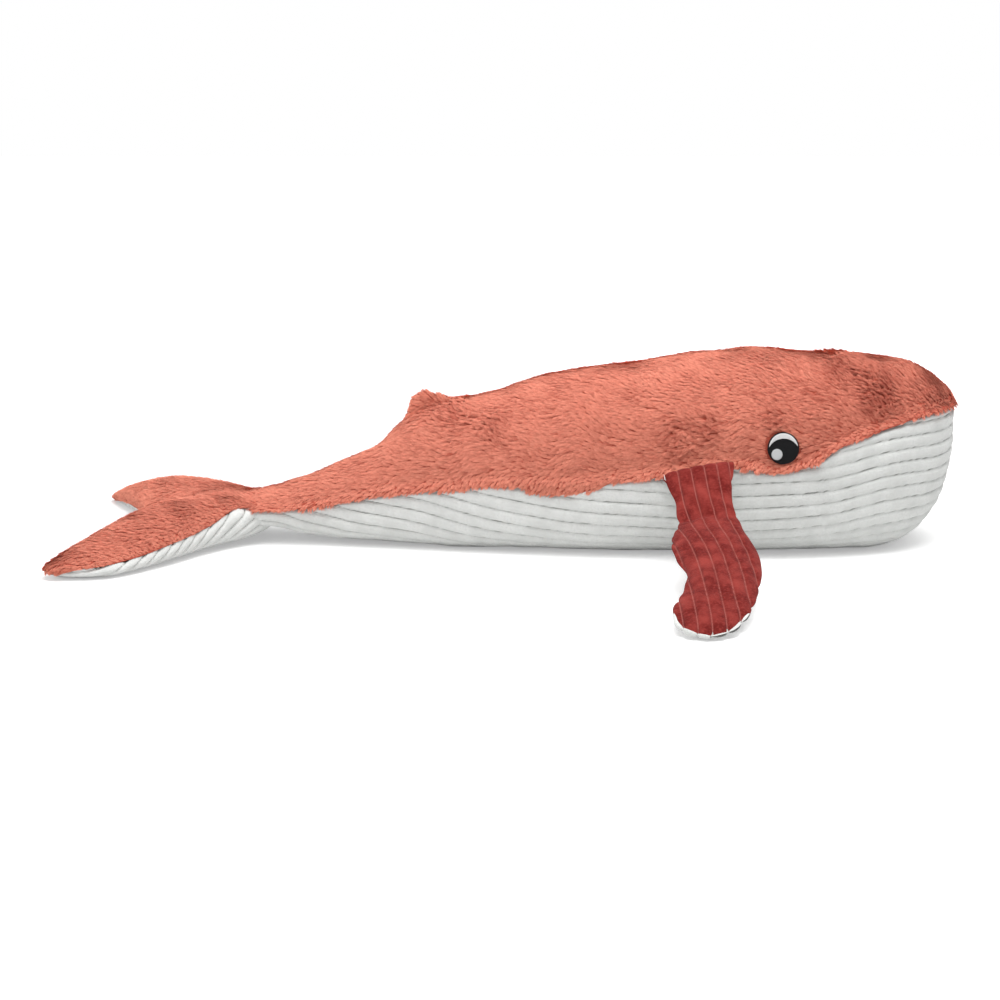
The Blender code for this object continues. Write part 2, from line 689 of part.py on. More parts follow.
def dorsal_ridge():
    """The back's ridge under the dorsal fin: its rear end, direction, length, normal and height table."""
    ridge = []
    for step in range(DORSAL_ROWS + 1):
        along = DORSAL_REAR_SHARE + (DORSAL_FRONT_SHARE - DORSAL_REAR_SHARE) * step / DORSAL_ROWS
        ridge.append(Vector((body_x(along), 0, body_section(along)[1])))
    span = ridge[-1] - ridge[0]
    run = span.normalized()
    normal = Vector((-run.z, 0, run.x))
    offsets = [point - ridge[0] for point in ridge]
    heights = [(offset.dot(run) / span.length, offset.dot(normal)) for offset in offsets]
    return ridge[0], run, span.length, normal, heights


def dorsal_lift():
    """The height of the dorsal fin's hinge line above the straight line under it."""
    heights = dorsal_ridge()[4]
    return max(height for _, height in heights) + DORSAL_THICKNESS / 2 + CLEARANCE


def dorsal_point(from_rear, around, inset=0.0):
    """A point of the dorsal fin's surface: a fin above its hinge line and a round foot below it."""
    rear, run, length, normal, heights = dorsal_ridge()
    along = (1 - math.cos(math.pi * from_rear)) / 2
    round_share = (1 - abs(2 * along - 1) ** DORSAL_END_POWER) ** (1 / DORSAL_END_POWER)
    up = math.cos(around)
    half = DORSAL_THICKNESS / 2 - inset
    foot = dorsal_lift() - share_at(heights, along) - CLEARANCE - inset
    rise = max((DORSAL_HEIGHT - inset) * share_at(DORSAL_SHARES, along), half)
    lift = (rise if up > 0 else foot) * round_share * up
    place = rear + run * (inset + along * (length - 2 * inset)) + normal * (dorsal_lift() + lift)
    return place + Vector((0, half * round_share * math.sin(around), 0))


def add_dorsal_fin(parts, cutters, materials):
    """A small fur fin in two halves over a pinch of filling."""

    def form(name, inset):
        return shaped_ball(
            name, DORSAL_ROWS, DORSAL_SEGMENTS,
            lambda from_rear, around: dorsal_point(from_rear, around, inset),
            symmetric=True,
        )

    inside = add_cutter("dorsal_inside", form("dorsal_inside", DORSAL_CLOTH_THICKNESS), cutters)
    outer = form("dorsal_form", 0.0)
    made = []
    for side, box_name in (("right", "left_side"), ("left", "right_side")):
        half = add_object(f"dorsal_fin_{side}", outer.copy(), parts, materials["fur"])
        cut(half, bpy.data.objects[box_name], inside)
        made.append(half)
    core = form("dorsal_core", DORSAL_CLOTH_THICKNESS + CLEARANCE)
    made.append(add_object("dorsal_fin_filling", core, parts, materials["filling"]))
    rear, run, length, normal, _ = dorsal_ridge()
    carry(add_pivot("dorsal_fin_pivot", rear + run * length / 2 + normal * dorsal_lift(), parts), made)


def eye_place(across, up, lift, side):
    """A point on the face, given forward and up from the middle of the eye along the fur."""
    x = body_x(EYE_SHARE)
    middle, normal = side_point(x, EYE_HEIGHT)
    forward = Vector((0, 0, 1)).cross(normal).normalized()
    if forward.x < 0:
        forward.negate()
    upward = normal.cross(forward).normalized()
    if upward.z < 0:
        upward.negate()
    near = middle + across * forward + up * upward
    point = side_point(near.x, near.z, lift)[0]
    return Vector((point.x, point.y if side == "right" else -point.y, point.z))


def thread_patch(name, rows, segments, outline, low, thickness, side):
    """A flat pad of stitching on the face: outline gives forward and up for a share out and an angle."""

    def place(from_pole, around):
        out_share = math.sin(math.pi * from_pole)
        across, up = outline(out_share, around)
        lift = low + thickness / 2 * (1 + signed_power(math.cos(math.pi * from_pole), EYE_FACE_POWER))
        return eye_place(across, up, lift, side)

    return shaped_ball(name, rows, segments, place)


def crescent(out_share, around):
    """The white of the eye: a crescent along the upper edge of the black patch."""
    start, end = math.radians(CRESCENT_START_DEG), math.radians(CRESCENT_END_DEG)
    along_share = (1 + out_share * math.cos(around)) / 2
    turn = start + (end - start) * along_share
    inner = EYE_DIAMETER / 2 - CRESCENT_RIM - CRESCENT_WIDTH
    blunt_share = min(max(along_share, CRESCENT_BLUNT_SHARE), 1 - CRESCENT_BLUNT_SHARE)
    wide = CRESCENT_WIDTH / 2 * math.sin(math.pi * blunt_share)
    reach = inner + CRESCENT_WIDTH / 2 + wide * out_share * math.sin(around)
    return reach * math.cos(turn), reach * math.sin(turn)


def add_eyes(parts, materials):
    """Each eye is a black patch of stitching with a white crescent and a pale glint stitched on it."""
    raised = 2 * CLEARANCE + EYE_THREAD_THICKNESS
    for side in ("right", "left"):
        radius = EYE_DIAMETER / 2
        black = thread_patch(
            f"{side}_eye_black", THREAD_ROWS, BLACK_SEGMENTS,
            lambda out, around: (radius * out * math.cos(around), radius * out * math.sin(around)),
            CLEARANCE, EYE_THREAD_THICKNESS, side)
        add_object(f"{side}_eye_black", black, parts, materials["black thread"])
        white = thread_patch(
            f"{side}_eye_white", THREAD_ROWS, CRESCENT_SEGMENTS, crescent,
            raised, EYE_THREAD_THICKNESS / 2, side)
        add_object(f"{side}_eye_white", white, parts, materials["white thread"])
        small = GLINT_DIAMETER / 2
        glint = thread_patch(
            f"{side}_eye_glint", THREAD_ROWS, GLINT_SEGMENTS,
            lambda out, around: (
                small * out * math.cos(around) - GLINT_BACK, small * out * math.sin(around) - GLINT_DOWN),
            raised, EYE_THREAD_THICKNESS / 2, side)
        add_object(f"{side}_eye_glint", glint, parts, materials["pale thread"])


def main():
    for old in list(bpy.data.objects):
        bpy.data.objects.remove(old, do_unlink=True)
    parts = make_collection("plush_whale")
    cutters = make_collection("cutters")
    materials = {
        "fur": make_material("salmon fur", (0.62, 0.20, 0.14), 0.9, 0.5),
        "white cord": make_material("white corduroy", (0.80, 0.81, 0.78), 0.9, 0.2),
        "dark cord": make_material("terracotta corduroy", (0.44, 0.062, 0.05), 0.85, 0.3),
        "filling": make_material("polyester filling", (0.86, 0.86, 0.84), 0.95, 0.0),
        "black thread": make_material("black thread", (0.008, 0.008, 0.010), 0.5, 0.0),
        "white thread": make_material("white thread", (0.85, 0.85, 0.85), 0.5, 0.0),
        "pale thread": make_material("pale thread", (0.72, 0.73, 0.74), 0.5, 0.0),
    }
    add_body(parts, cutters, materials)
    add_flukes(parts, cutters, materials)
    add_fins(parts, cutters, materials)
    add_dorsal_fin(parts, cutters, materials)
    add_eyes(parts, materials)
    bpy.context.view_layer.update()


main()
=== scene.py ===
"""Dresses the plush whale: a fur back, a ribbed corduroy belly, padded fins, embroidered eyes and a stage.

X runs to the nose, Y to the whale's left and Z up, in metres, in the frame of the CAD model. A table of
shares holds pairs of a place and a value. The places of the body's tables are shares of its length, from
the fluke seam at 0 to the nose at 1, those of the flukes' tables are shares of their half span, and those
of a side fin's tables are shares of its length from the hinge line.
"""

import json
import math

import bmesh
import bpy
import numpy as np
from bpy.props import FloatProperty, FloatVectorProperty, PointerProperty
from bpy.types import Operator, Panel, PropertyGroup
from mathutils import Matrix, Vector, noise
from mathutils.kdtree import KDTree


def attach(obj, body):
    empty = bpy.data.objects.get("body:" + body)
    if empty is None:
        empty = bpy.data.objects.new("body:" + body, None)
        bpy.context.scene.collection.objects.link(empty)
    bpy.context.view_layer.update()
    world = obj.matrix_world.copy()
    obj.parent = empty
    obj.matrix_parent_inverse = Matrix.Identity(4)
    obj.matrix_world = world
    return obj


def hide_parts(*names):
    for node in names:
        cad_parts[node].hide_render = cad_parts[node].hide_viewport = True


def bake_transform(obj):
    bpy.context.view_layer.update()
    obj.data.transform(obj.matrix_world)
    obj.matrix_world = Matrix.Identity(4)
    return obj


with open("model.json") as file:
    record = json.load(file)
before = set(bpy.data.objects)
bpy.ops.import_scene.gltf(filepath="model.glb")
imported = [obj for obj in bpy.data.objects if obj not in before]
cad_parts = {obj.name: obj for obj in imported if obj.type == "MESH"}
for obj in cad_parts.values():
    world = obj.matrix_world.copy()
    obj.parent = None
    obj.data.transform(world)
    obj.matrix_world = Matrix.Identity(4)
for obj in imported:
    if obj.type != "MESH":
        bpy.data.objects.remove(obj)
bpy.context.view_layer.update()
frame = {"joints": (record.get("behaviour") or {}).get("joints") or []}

bl_info = {
    "name": "Plush Whale Dresser",
    "version": (1, 0, 0),
    "blender": (4, 5, 0),
    "location": "3D View > Sidebar > Plush Whale",
    "description": "Makes the fur, the corduroy, the fins, the eyes and the stage of a plush whale",
    "category": "Object",
}

MILLIMETRE = 0.001

# Limits that keep sums safe, and steps of the search for a surface
LEAST_LENGTH = 0.00001
LEAST_SLOPE = 1e-9
LEAST_AREA = 1e-12
MERGE_DISTANCE = 0.00005
SLOPE_STEP = 0.00025
HALVINGS = 26
FAR_OUT_SHARE = 9.0
FAR_AWAY = 1.0

# Starts of the random draws, shifts of the noise between forms, and the places of a tuft's corners in its
# column of shades
PATCH_SHIFT = 3.0
SWIRL_SHIFT = 9.0
LARGE_LUMP_SHIFT = 5.0
SMALL_LUMP_SHIFT = 7.0
BELLY_DRIFT_SHIFT = 2.0
BELLY_DENT_SHIFT = 4.0
BELLY_WAVE_SHIFT = 8.0
FIN_WAVE_SHIFT = 1.0
FIN_DENT_SHIFT = 6.0
FIN_CREASE_WAVE_SHIFT = 4.0
BACK_SEED = 11
FLUKES_SEED = 23
DORSAL_FIN_SEED = 31
TUFT_SHADE_SHARES = (0.1, 0.9, 0.5)

# The body's form
BODY_LENGTH = 0.470
BODY_WIDTH = 0.146
BACK_HEIGHT = 0.124
NOSE_HEIGHT = 0.0865
TAIL_LIFT = 0.012
NOSE_START_SHARE = 0.80
NOSE_ROWS_SHARE = 0.40
BROW_START_SHARE = 0.83
BROW_POWER = 2.3
CHIN_START_SHARE = 0.86
CHIN_POWER = 2.6
CHEEK_START_SHARE = 0.72
CHEEK_POWER = 2.3
UNDERSIDE_POWER = 3.9
BACK_POWER = 2.1
FLUKE_SEAM_X = -0.180
BODY_REAR_SHARE = 0.010

# Shares of BACK_HEIGHT
BACK_SHARES = (
    (-0.05, 0.235), (0.0, 0.254), (0.08, 0.335), (0.136, 0.41), (0.165, 0.462), (0.193, 0.515),
    (0.222, 0.618), (0.25, 0.69), (0.28, 0.735), (0.308, 0.762), (0.336, 0.792), (0.365, 0.81),
    (0.393, 0.843), (0.449, 0.90), (0.505, 0.94), (0.561, 0.958), (0.617, 0.99), (0.673, 1.012),
    (0.72, 1.03), (0.78, 1.016), (0.84, 1.005), (0.88, 1.01), (1.0, 1.01),
)
# Shares of TAIL_LIFT
UNDERSIDE_SHARES = (
    (-0.05, 1.1), (0.0, 1.0), (0.05, 0.86), (0.09, 0.42), (0.125, 0.30), (0.185, 0.19), (0.25, 0.08),
    (0.32, 0.0), (1.0, 0.0),
)
# Shares of half the BODY_WIDTH
WIDTH_SHARES = (
    (-0.05, 0.345), (0.0, 0.356), (0.08, 0.40), (0.18, 0.52), (0.295, 0.685), (0.375, 0.795),
    (0.49, 0.918), (0.60, 0.98), (0.72, 1.0), (1.0, 1.0),
)
# Shares of NOSE_HEIGHT
WIDEST_SHARES = (
    (-0.05, 0.24), (0.0, 0.26), (0.125, 0.31), (0.295, 0.49), (0.49, 0.58), (0.70, 0.64), (0.85, 0.77),
    (1.0, 1.0),
)
SEAM_SHARES = (
    (-0.10, 0.27), (0.0, 0.275), (0.08, 0.30), (0.17, 0.40), (0.224, 0.46), (0.30, 0.510), (0.36, 0.555),
    (0.44, 0.560), (0.50, 0.595), (0.574, 0.645), (0.674, 0.725), (0.736, 0.685), (0.787, 0.750),
    (0.815, 0.845), (0.859, 0.94), (0.903, 1.005), (0.93, 1.045), (0.96, 1.065), (1.0, 1.075), (1.1, 1.075),
)

# The flukes' form
FLUKE_LENGTH = 0.110
FLUKE_HALF_SPAN = 0.1235
FLUKE_THICKNESS = 0.029
FLUKE_ROOT_HEIGHT = 0.022
FLUKE_TRAIL_DROP = 0.007
FLUKE_EDGE_POWER = 1.25
FLUKE_UNDER_POWER = 0.45
FLUKE_VOXEL = 0.0016
FLUKE_JOIN_START_X = -0.154
FLUKE_JOIN_REACH_SHARE = 0.14
FLUKE_SINK_X = -0.172
FLUKE_SINK_REACH = 0.012
FLUKE_SINK = 0.0025
FLUKE_PILE_X = -0.168
FLUKE_TURN_REACH = 0.030
FLUKE_BULGE = 0.003
FLUKE_TUCK = 0.0009
FLUKE_FUR_DROP = 0.004
FLUKE_SEAM_RISE = 0.0012
FLUKE_ROOT_RISE = 0.006
FLUKE_ROOT_RISE_SHARE = 0.22
FLUKE_ROOT_REACH_SHARE = 0.14
FLUKE_TIP_RISE = 0.0010
FLUKE_TIP_RISE_SHARE = 0.72
FLUKE_LEFT_DROP = 0.0036
FLUKE_LEFT_DROP_SHARE = 0.60
FLUKE_RIB_SLANT = 1.1
FLUKE_RIB_START = 0.008
FLUKE_ROWS, FLUKE_SEGMENTS = 120, 64
STUB_ROWS = 40
STUB_SET_BACK_SHARE = 0.045
FLUKE_SMOOTH_PASSES = 8
# Shares of FLUKE_LENGTH, measured back from the fluke seam
FLUKE_LEAD_SHARES = (
    (0.0, -0.24), (0.15, -0.18), (0.25, -0.06), (0.34, 0.05), (0.45, 0.155), (0.564, 0.24), (0.70, 0.345),
    (0.88, 0.515), (0.96, 0.63), (1.0, 0.79),
)
FLUKE_TRAIL_SHARES = (
    (0.0, 0.54), (0.12, 0.59), (0.25, 0.68), (0.5, 0.785), (0.69, 0.885), (0.83, 0.965), (0.93, 1.0),
    (0.98, 0.94), (1.0, 0.79),
)
# Shares of half the FLUKE_THICKNESS
FLUKE_THICKNESS_SHARES = (
    (0.0, 0.76), (0.25, 0.94), (0.45, 1.06), (0.70, 0.80), (0.90, 0.44), (0.97, 0.26), (1.0, 0.0),
)
# Shares of the height of the flukes' edge seam, by which the underside lies below it
FLUKE_UNDER_SHARES = (
    (0.0, 0.50), (0.12, 0.74), (0.22, 0.90), (0.45, 0.93), (0.90, 0.90), (0.97, 0.6), (1.0, 0.0),
)
# Shares of FLUKE_ROOT_HEIGHT
FLUKE_HEIGHT_SHARES = ((0.0, 1.0), (0.25, 0.93), (0.45, 0.75), (0.70, 0.56), (0.90, 0.36), (1.0, 0.27))

# The dorsal fin's form
DORSAL_REAR_SHARE = 0.2335
DORSAL_FRONT_SHARE = 0.306
DORSAL_HEIGHT = 0.0125
DORSAL_THICKNESS = 0.011
DORSAL_ROOT = 0.003
DORSAL_END_POWER = 4.0
DORSAL_PILE_SHARE = 0.8
DORSAL_ROWS, DORSAL_SEGMENTS = 40, 32
# Shares of DORSAL_HEIGHT along the base, from the rear
DORSAL_SHARES = (
    (0.0, 0.3), (0.05, 0.5), (0.10, 0.75), (0.16, 1.03), (0.34, 1.0), (0.53, 0.62), (0.75, 0.28), (0.9, 0.06),
    (1.0, 0.0),
)

# The side fins' form
FIN_LENGTH = 0.191
FIN_WIDTH = 0.050
FIN_THICKNESS = 0.013
FIN_ROOT_TILT_DEG = 11.0
FIN_ROOT_DROP_DEG = 34.0
FIN_TIP_DROP_DEG = 13.5
FIN_CREASE_SHARE = 0.23
FIN_CREASE_REACH_SHARE = 0.10
FIN_TILT_REACH_SHARE = 0.5
FIN_EDGE_POWER = 1.3
FIN_FORWARD = 0.0015
FIN_PAD_SHARE = 0.5
FIN_INSET_SHARE = 0.05
FIN_SAG = 0.0036
FIN_SAG_START_SHARE = 0.15
FIN_SAG_REACH_SHARE = 0.35
FIN_RIB_LEAN = 0.09
FIN_RIB_DEPTH_SHARE = 0.9
FIN_CREASE_DEPTH = 0.0018
FIN_CREASE_WIDTH = 0.004
FIN_CREASE_WANDER = 0.0025
FIN_CREASE_WAVE = 0.010
FIN_CREASE_VARIES_SHARE = 0.6
FIN_RIM = 0.0010
FIN_RIM_TUCK = 0.0010
FIN_SCALLOP = 0.0014
FIN_KNOB = 0.0010
FIN_RIM_RIB = 0.6
FIN_EDGE_CALM_SHARE = 0.6
FIN_EDGE_CALM_POWER = 6
FIN_RIM_POWER = 16
FIN_RIM_RIB_POWER = 8
FIN_TIP_START_SHARE = 0.8
FIN_TIP_REACH_SHARE = 0.15
FIN_RIB_START_SHARE = 0.15
FIN_RIB_MIDDLE_SHARE = 0.7
FIN_KNOB_MIDDLE_SHARE = 0.5
FIN_RIB_DRIFT = 0.0005
FIN_DENT_DEPTH = 0.0005
FIN_TABLE_STEPS = 400
FIN_BEND_INSIDE = 0.003
FIN_BEND_REACH = 0.018
# Shares of FIN_WIDTH, measured forwards from the middle of the root
FIN_LEAD_SHARES = (
    (0.0, 0.44), (0.07, 0.40), (0.14, 0.37), (0.21, 0.40), (0.31, 0.44), (0.42, 0.53), (0.53, 0.56),
    (0.63, 0.53), (0.73, 0.45), (0.84, 0.32), (0.91, 0.20), (0.96, 0.08), (0.985, -0.04), (1.0, -0.19),
)
FIN_TRAIL_SHARES = (
    (0.0, -0.44), (0.07, -0.35), (0.14, -0.29), (0.21, -0.29), (0.31, -0.37), (0.42, -0.44), (0.53, -0.40),
    (0.63, -0.34), (0.73, -0.39), (0.84, -0.54), (0.91, -0.54), (0.96, -0.47), (0.985, -0.35), (1.0, -0.19),
)
# Shares of half the FIN_THICKNESS
FIN_THICKNESS_SHARES = (
    (0.0, 0.66), (0.10, 0.74), (0.23, 0.80), (0.45, 1.0), (0.75, 0.86), (0.93, 0.46), (1.0, 0.0),
)

# Rows and columns of the cloth
BACK_ROWS, BACK_COLUMNS = 170, 110
BELLY_ROWS, JAW_ROWS, BELLY_COLUMNS = 130, 40, 300
FIN_ROWS, FIN_COLUMNS = 190, 121
JAW_CENTRE_X = 0.222
SEAM_TUCK = 0.004
TUCK_REACH = 0.0085
TUCK_FULL = 0.006
TUCK_DEPTH = 0.0032
SEAM_OVERLAP = 0.001
LEAST_RADIUS = 0.020
EDGE_REACH = 0.007
EDGE_RAISE = 0.001
REAR_SINK = 0.001
NOSE_TIP_X = 0.286
NOSE_TIP_REACH = 0.002
NOSE_PUSH = 0.0035
NOSE_PUSH_SHARE = 0.02
NOSE_EDGE_SHARE = 0.35
NOSE_CALM_SHARE = 0.03
AXIS_SET_BACK = 0.02
BELLY_CENTRE_SHARE = 0.42
BELLY_SWEEP_DEG = 150
BELLY_SWEEP_STEPS = 420
RIB_MIDDLE_SHARE = 0.75
RIB_SIDE_POWER = 3.2
RIB_CREST_POWER = 0.60

# The pile
PILE_DEPTH = 0.0015
FRINGE_REACH = 0.008
HEAD_SHADE_START = 0.135
HEAD_SHADE_REACH = 0.06
# Reach of the painted highlight on the top, out from the middle line
PAINTED_HIGHLIGHT_REACH = 0.042
TAIL_HEIGHT = 0.060
TUFTS_IN_PIECE = 190000
SHADE_STEPS = 64
TUFT_ROOT_SHARE = 0.02

# Which way the pile lies, as shares of its run towards the tail
FLOW_OUT_SHARE = 0.25
FLOW_DOWN_SHARE = 0.25
FLOW_SINK_SHARE = 0.05
FRINGE_HANG_SHARE = 1.3
FLUKE_FLOW_OUT_SHARE = 0.9
FLUKE_FLOW_DOWN_SHARE = 0.1

# How the clumps of the pile vary. Turns and lifts are angles in radians
CLUMP_SWIRL = 0.5
CLUMP_TURN = 0.14
ROUGH_TURN = 0.45
ROUGH_FRINGE_SHARE = 0.3
PATCH_LIFT = 0.05
CLUMP_LIFT = 0.05
DARK_LIFT = 0.22
FRINGE_FALL = 0.06
SHADE_MIDDLE_SHARE = 0.60
SHADE_PATCH_SHARE = 0.14
SHADE_SPREAD_SHARE = 0.16
# Painted highlight: how much lighter the clumps near the middle line are made, as if lit from above
RIDGE_PAINTED_HIGHLIGHT_SHARE = 0.14
DARK_SHADE_SHARE = 0.24
FRINGE_SHADE_SHARE = 0.04
HEAD_SHADE_SHARE = 0.17
LENGTH_SPREAD_SHARE = 0.10
DARK_LENGTH_SHARE = 0.2
FRINGE_TRIM_SHARE = 0.28
CLUMP_LIFT_RANGE = (0.15, 1.0)

# How the tufts in a clump vary. A range holds the least and the most, a pair of shares the least and its span
TUFT_TURN = 0.18
TUFT_LIFT = 0.09
TUFT_LIFT_RANGE = (0.08, 1.1)
TUFT_ROLL = 0.1
TUFT_DEPTH_SHARE = 0.06
TUFT_LENGTH_SHARES = (0.75, 0.45)
TUFT_GATHER_SHARES = (0.25, 0.60)
TUFT_WIDTH_SHARES = (0.75, 0.5)
TONE_SPREAD_SHARE = 0.18
TOP_TONE_SHARE = 0.999

# Waves, lumps, dents and patches, by their size, height or depth
LARGE_LUMP = 0.045
LARGE_LUMP_HEIGHT = 0.0009
SMALL_LUMP = 0.018
SMALL_LUMP_HEIGHT = 0.00035
BELLY_WAVE = 0.055
BELLY_WAVE_HEIGHT = 0.0007
BELLY_RIB_DRIFT = 0.001
BELLY_DENT = 0.012
BELLY_DENT_DEPTH = 0.0002
FIN_DENT = 0.014
FIN_WAVE = 0.040
PATCH_SIZE = 0.014
SWIRL_SIZE = 0.022

# Places where the pile is rough: X, Z and reach
ROUGH_EDGE_SHARE = 1.5
ROUGH_SPOTS = (
    (0.108, 0.078, 0.020), (0.126, 0.084, 0.014), (0.236, 0.104, 0.020), (0.215, 0.117, 0.014),
    (0.168, 0.090, 0.010), (-0.172, 0.020, 0.010), (-0.040, 0.092, 0.022), (-0.010, 0.080, 0.016),
)

# Eyes
EYE_X = 0.1697
EYE_HEIGHT = 0.0735
EYE_DIAMETER = 0.020
EYE_SINK = 0.0012
EYE_PUFF = 0.0006
THREAD_PUFF = 0.0011
CRESCENT_WIDTH = 0.0033
CRESCENT_RIM = 0.0009
CRESCENT_START_DEG = 8.0
CRESCENT_END_DEG = 176.0
GLINT_DIAMETER = 0.0069
GLINT_BACK = 0.0041
GLINT_DOWN = 0.0038
EYE_FACE_POWER = 0.35
EYE_STITCHES = 24
EYE_WOBBLE_SHARE = 0.008
GLINT_WOBBLE_SHARE = 0.03
CRESCENT_HORN_POWER = 0.8
DISC_ROWS, DISC_SEGMENTS = 36, 96
CRESCENT_ROWS, CRESCENT_SEGMENTS = 72, 24

# The finishes
DEEP_SHARES = (0.70, 0.36, 0.32)
DEEP_FROM_SHARE = 0.62
TIP_COLOUR_POWER = 0.6
GAP_SHARE = 0.45
BACKING_PATCH = 0.006
BACKING_LOOP = 0.0012
BACKING_DEPTH = 0.0006
FUZZ_SIZE = 0.0009
FUZZ_DEPTH = 0.0007
FUZZ_STRENGTH = 0.8
# Patches on the corduroy: wear on the white belly, a painted sheen on the fins
WEAR_AND_SHEEN_SIZE = 0.011
WEAR_AND_SHEEN_CONTRAST, WEAR_AND_SHEEN_CUT = 3.0, 1.2
NAP_SIZE = 0.0016
NAP_CONTRAST, NAP_CUT = 5.0, 2.4
NAP_SHARE = 0.6
GROOVE_BLUR_SHARE = 0.25
WORN_WHITE = (0.68, 0.69, 0.67)
# How far up the white ribs the painted groove shade reaches
WHITE_GROOVE_SHADE_SHARE = 0.50
WHITE_SHEEN = 0.3
# Painted sheen: lighter pink patches on the fins' ribs, standing in for the shine of the nap
PAINTED_BRICK_SHEEN = (0.32, 0.046, 0.037)
BRICK_GROOVE_SHARE = 0.55
BRICK_SHEEN = 0.08
THREAD_SCALE = 700.0
THREAD_WOBBLE = 1.2
THREAD_DEPTH = 0.00025
THREAD_STRENGTH = 0.7
# Painted shade: how dark the lines between the threads are made, as a share of the thread's colour
THREAD_GAP_SHADE_SHARE = 0.72
# Sockets of a mix node: its factor and two colours, and the colour that comes out
MIX_INPUTS, MIX_OUTPUT = (0, 6, 7), 2
# Colour and turn of each thread, in radians
THREADS = {
    "black stitching": ((0.004, 0.004, 0.005), 0.6),
    "white stitching": ((0.86, 0.86, 0.86), 0.2),
    "pale stitching": ((0.66, 0.67, 0.68), 1.2),
}

# The stage
FLOOR_HALF_SIZE = 6.0
FLOOR_COLOUR = (0.82, 0.82, 0.82)
KEY_SIZE = (1.6, 1.2)
KEY_PLACE = (0.2, -0.30, 1.65)
KEY_TARGET = (0.02, 0.0, 0.05)
FILL_SIZE = (1.2, 1.2)
FILL_PLACE = (-1.2, -1.0, 0.9)
FILL_TARGET = (0.0, 0.0, 0.05)
KEY_TO_FILL = 7
SENSOR_WIDTH_MM = 36.0
CAMERA_PLACE = (-0.0086, -1.326, 0.307)
CAMERA_TILT_DEG = 78.0


def length_setting(name, description, default):
    return FloatProperty(name=name, description=description, default=default, unit="LENGTH")


def colour_setting(name, description, default):
    return FloatVectorProperty(name=name, description=description, default=default, subtype="COLOR")


class FurSettings(PropertyGroup):
    """Sizes and colours of the pile."""

    length: length_setting("Pile Length", "Length of one tuft", 0.0050)
    width: length_setting("Tuft Width", "Width of a tuft at its root", 0.00042)
    per_square_mm: FloatProperty(name="Density", description="Tufts on a square millimetre", default=10.5)
    clump: length_setting("Clump Size", "Space between clumps", 0.0017)
    lift: FloatProperty(name="Lift", description="How steeply the pile stands", default=0.24, subtype="ANGLE")
    root_colour: colour_setting("Root Colour", "Colour at the roots", (0.56, 0.094, 0.051))
    tip_colour: colour_setting("Tip Colour", "Colour at the tips", (0.96, 0.388, 0.272))


class CordSettings(PropertyGroup):
    """Sizes and colours of the corduroy."""

    pitch: length_setting("Rib Pitch", "Space between two ribs", 0.008)
    depth: length_setting("Rib Depth", "Depth of a groove", 0.0022)
    white: colour_setting("Belly Colour", "Colour of the white ribs", (0.765, 0.775, 0.755))
    # Painted shade: the white belly's grooves get this darker colour, standing in for the shadow in them
    white_groove_shade: colour_setting("Belly Groove", "Colour in the white grooves", (0.25, 0.26, 0.24))
    brick: colour_setting("Fin Colour", "Colour of the fins' ribs", (0.155, 0.012, 0.010))
    brick_groove: colour_setting("Fin Groove", "Colour in the fins' grooves", (0.50, 0.17, 0.145))


class StageSettings(PropertyGroup):
    """The floor, the lamps and the camera."""

    world_level: FloatProperty(name="Sky Level", description="Strength of the even light", default=0.45)
    key_power: FloatProperty(name="Key Power", description="Power of the lamp above, in watts", default=31.0)
    floor_glow: FloatProperty(name="Floor White", description="Whiteness added for the camera", default=0.36)
    white_from: length_setting("White From", "Where the floor starts to fade to white", 0.45)
    lens: FloatProperty(name="Lens", description="Focal length in millimetres", default=73.0)


def sizes():
    return bpy.context.scene.whale_fur, bpy.context.scene.whale_cord, bpy.context.scene.whale_stage


def share_at(shares, at):
    """The values at places along a table, on a smooth curve through its points."""
    places, values = np.array(shares).T
    slopes = np.diff(values) / np.diff(places)
    before, after = slopes[:-1], slopes[1:]
    same_way = before * after > 0
    tangents = np.concatenate((slopes[:1], np.zeros(len(slopes) - 1), slopes[-1:]))
    tangents[1:-1][same_way] = (2 * before * after)[same_way] / (before + after)[same_way]
    at = np.clip(at, places[0], places[-1])
    i = np.clip(np.searchsorted(places, at, side="right") - 1, 0, len(slopes) - 1)
    span = places[i + 1] - places[i]
    t = (at - places[i]) / span
    return (
        values[i] * (1 + 2 * t) * (1 - t) ** 2
        + values[i + 1] * t * t * (3 - 2 * t)
        + span * tangents[i] * t * (1 - t) ** 2
        + span * tangents[i + 1] * t * t * (t - 1)
    )


def rounded_end(at, start, power):
    """1 up to start, then down to 0 at 1 along a round end."""
    past = np.clip((at - start) / (1 - start), 0, 1)
    return (1 - past**power) ** (1 / power)


def signed_power(value, power):
    return np.sign(value) * np.abs(value) ** power


def smooth_step(value):
    t = np.clip(value, 0, 1)
    return t * t * (3 - 2 * t)


def body_section(along):
    """Half width, top, underside and widest height of the body's section."""
    half_width = BODY_WIDTH / 2 * share_at(WIDTH_SHARES, along)
    half_width = half_width * rounded_end(along, CHEEK_START_SHARE, CHEEK_POWER)
    top = BACK_HEIGHT * share_at(BACK_SHARES, along)
    top = NOSE_HEIGHT + (top - NOSE_HEIGHT) * rounded_end(along, BROW_START_SHARE, BROW_POWER)
    under = TAIL_LIFT * share_at(UNDERSIDE_SHARES, along)
    bottom = NOSE_HEIGHT + (under - NOSE_HEIGHT) * rounded_end(along, CHIN_START_SHARE, CHIN_POWER)
    widest = np.clip(NOSE_HEIGHT * share_at(WIDEST_SHARES, along), bottom, top)
    return half_width, top, bottom, widest


def half_section(above, top, bottom, widest):
    """Height of the section over or under its widest place, and the power of its curve there."""
    return np.where(above, top - widest, widest - bottom), np.where(above, BACK_POWER, UNDERSIDE_POWER)


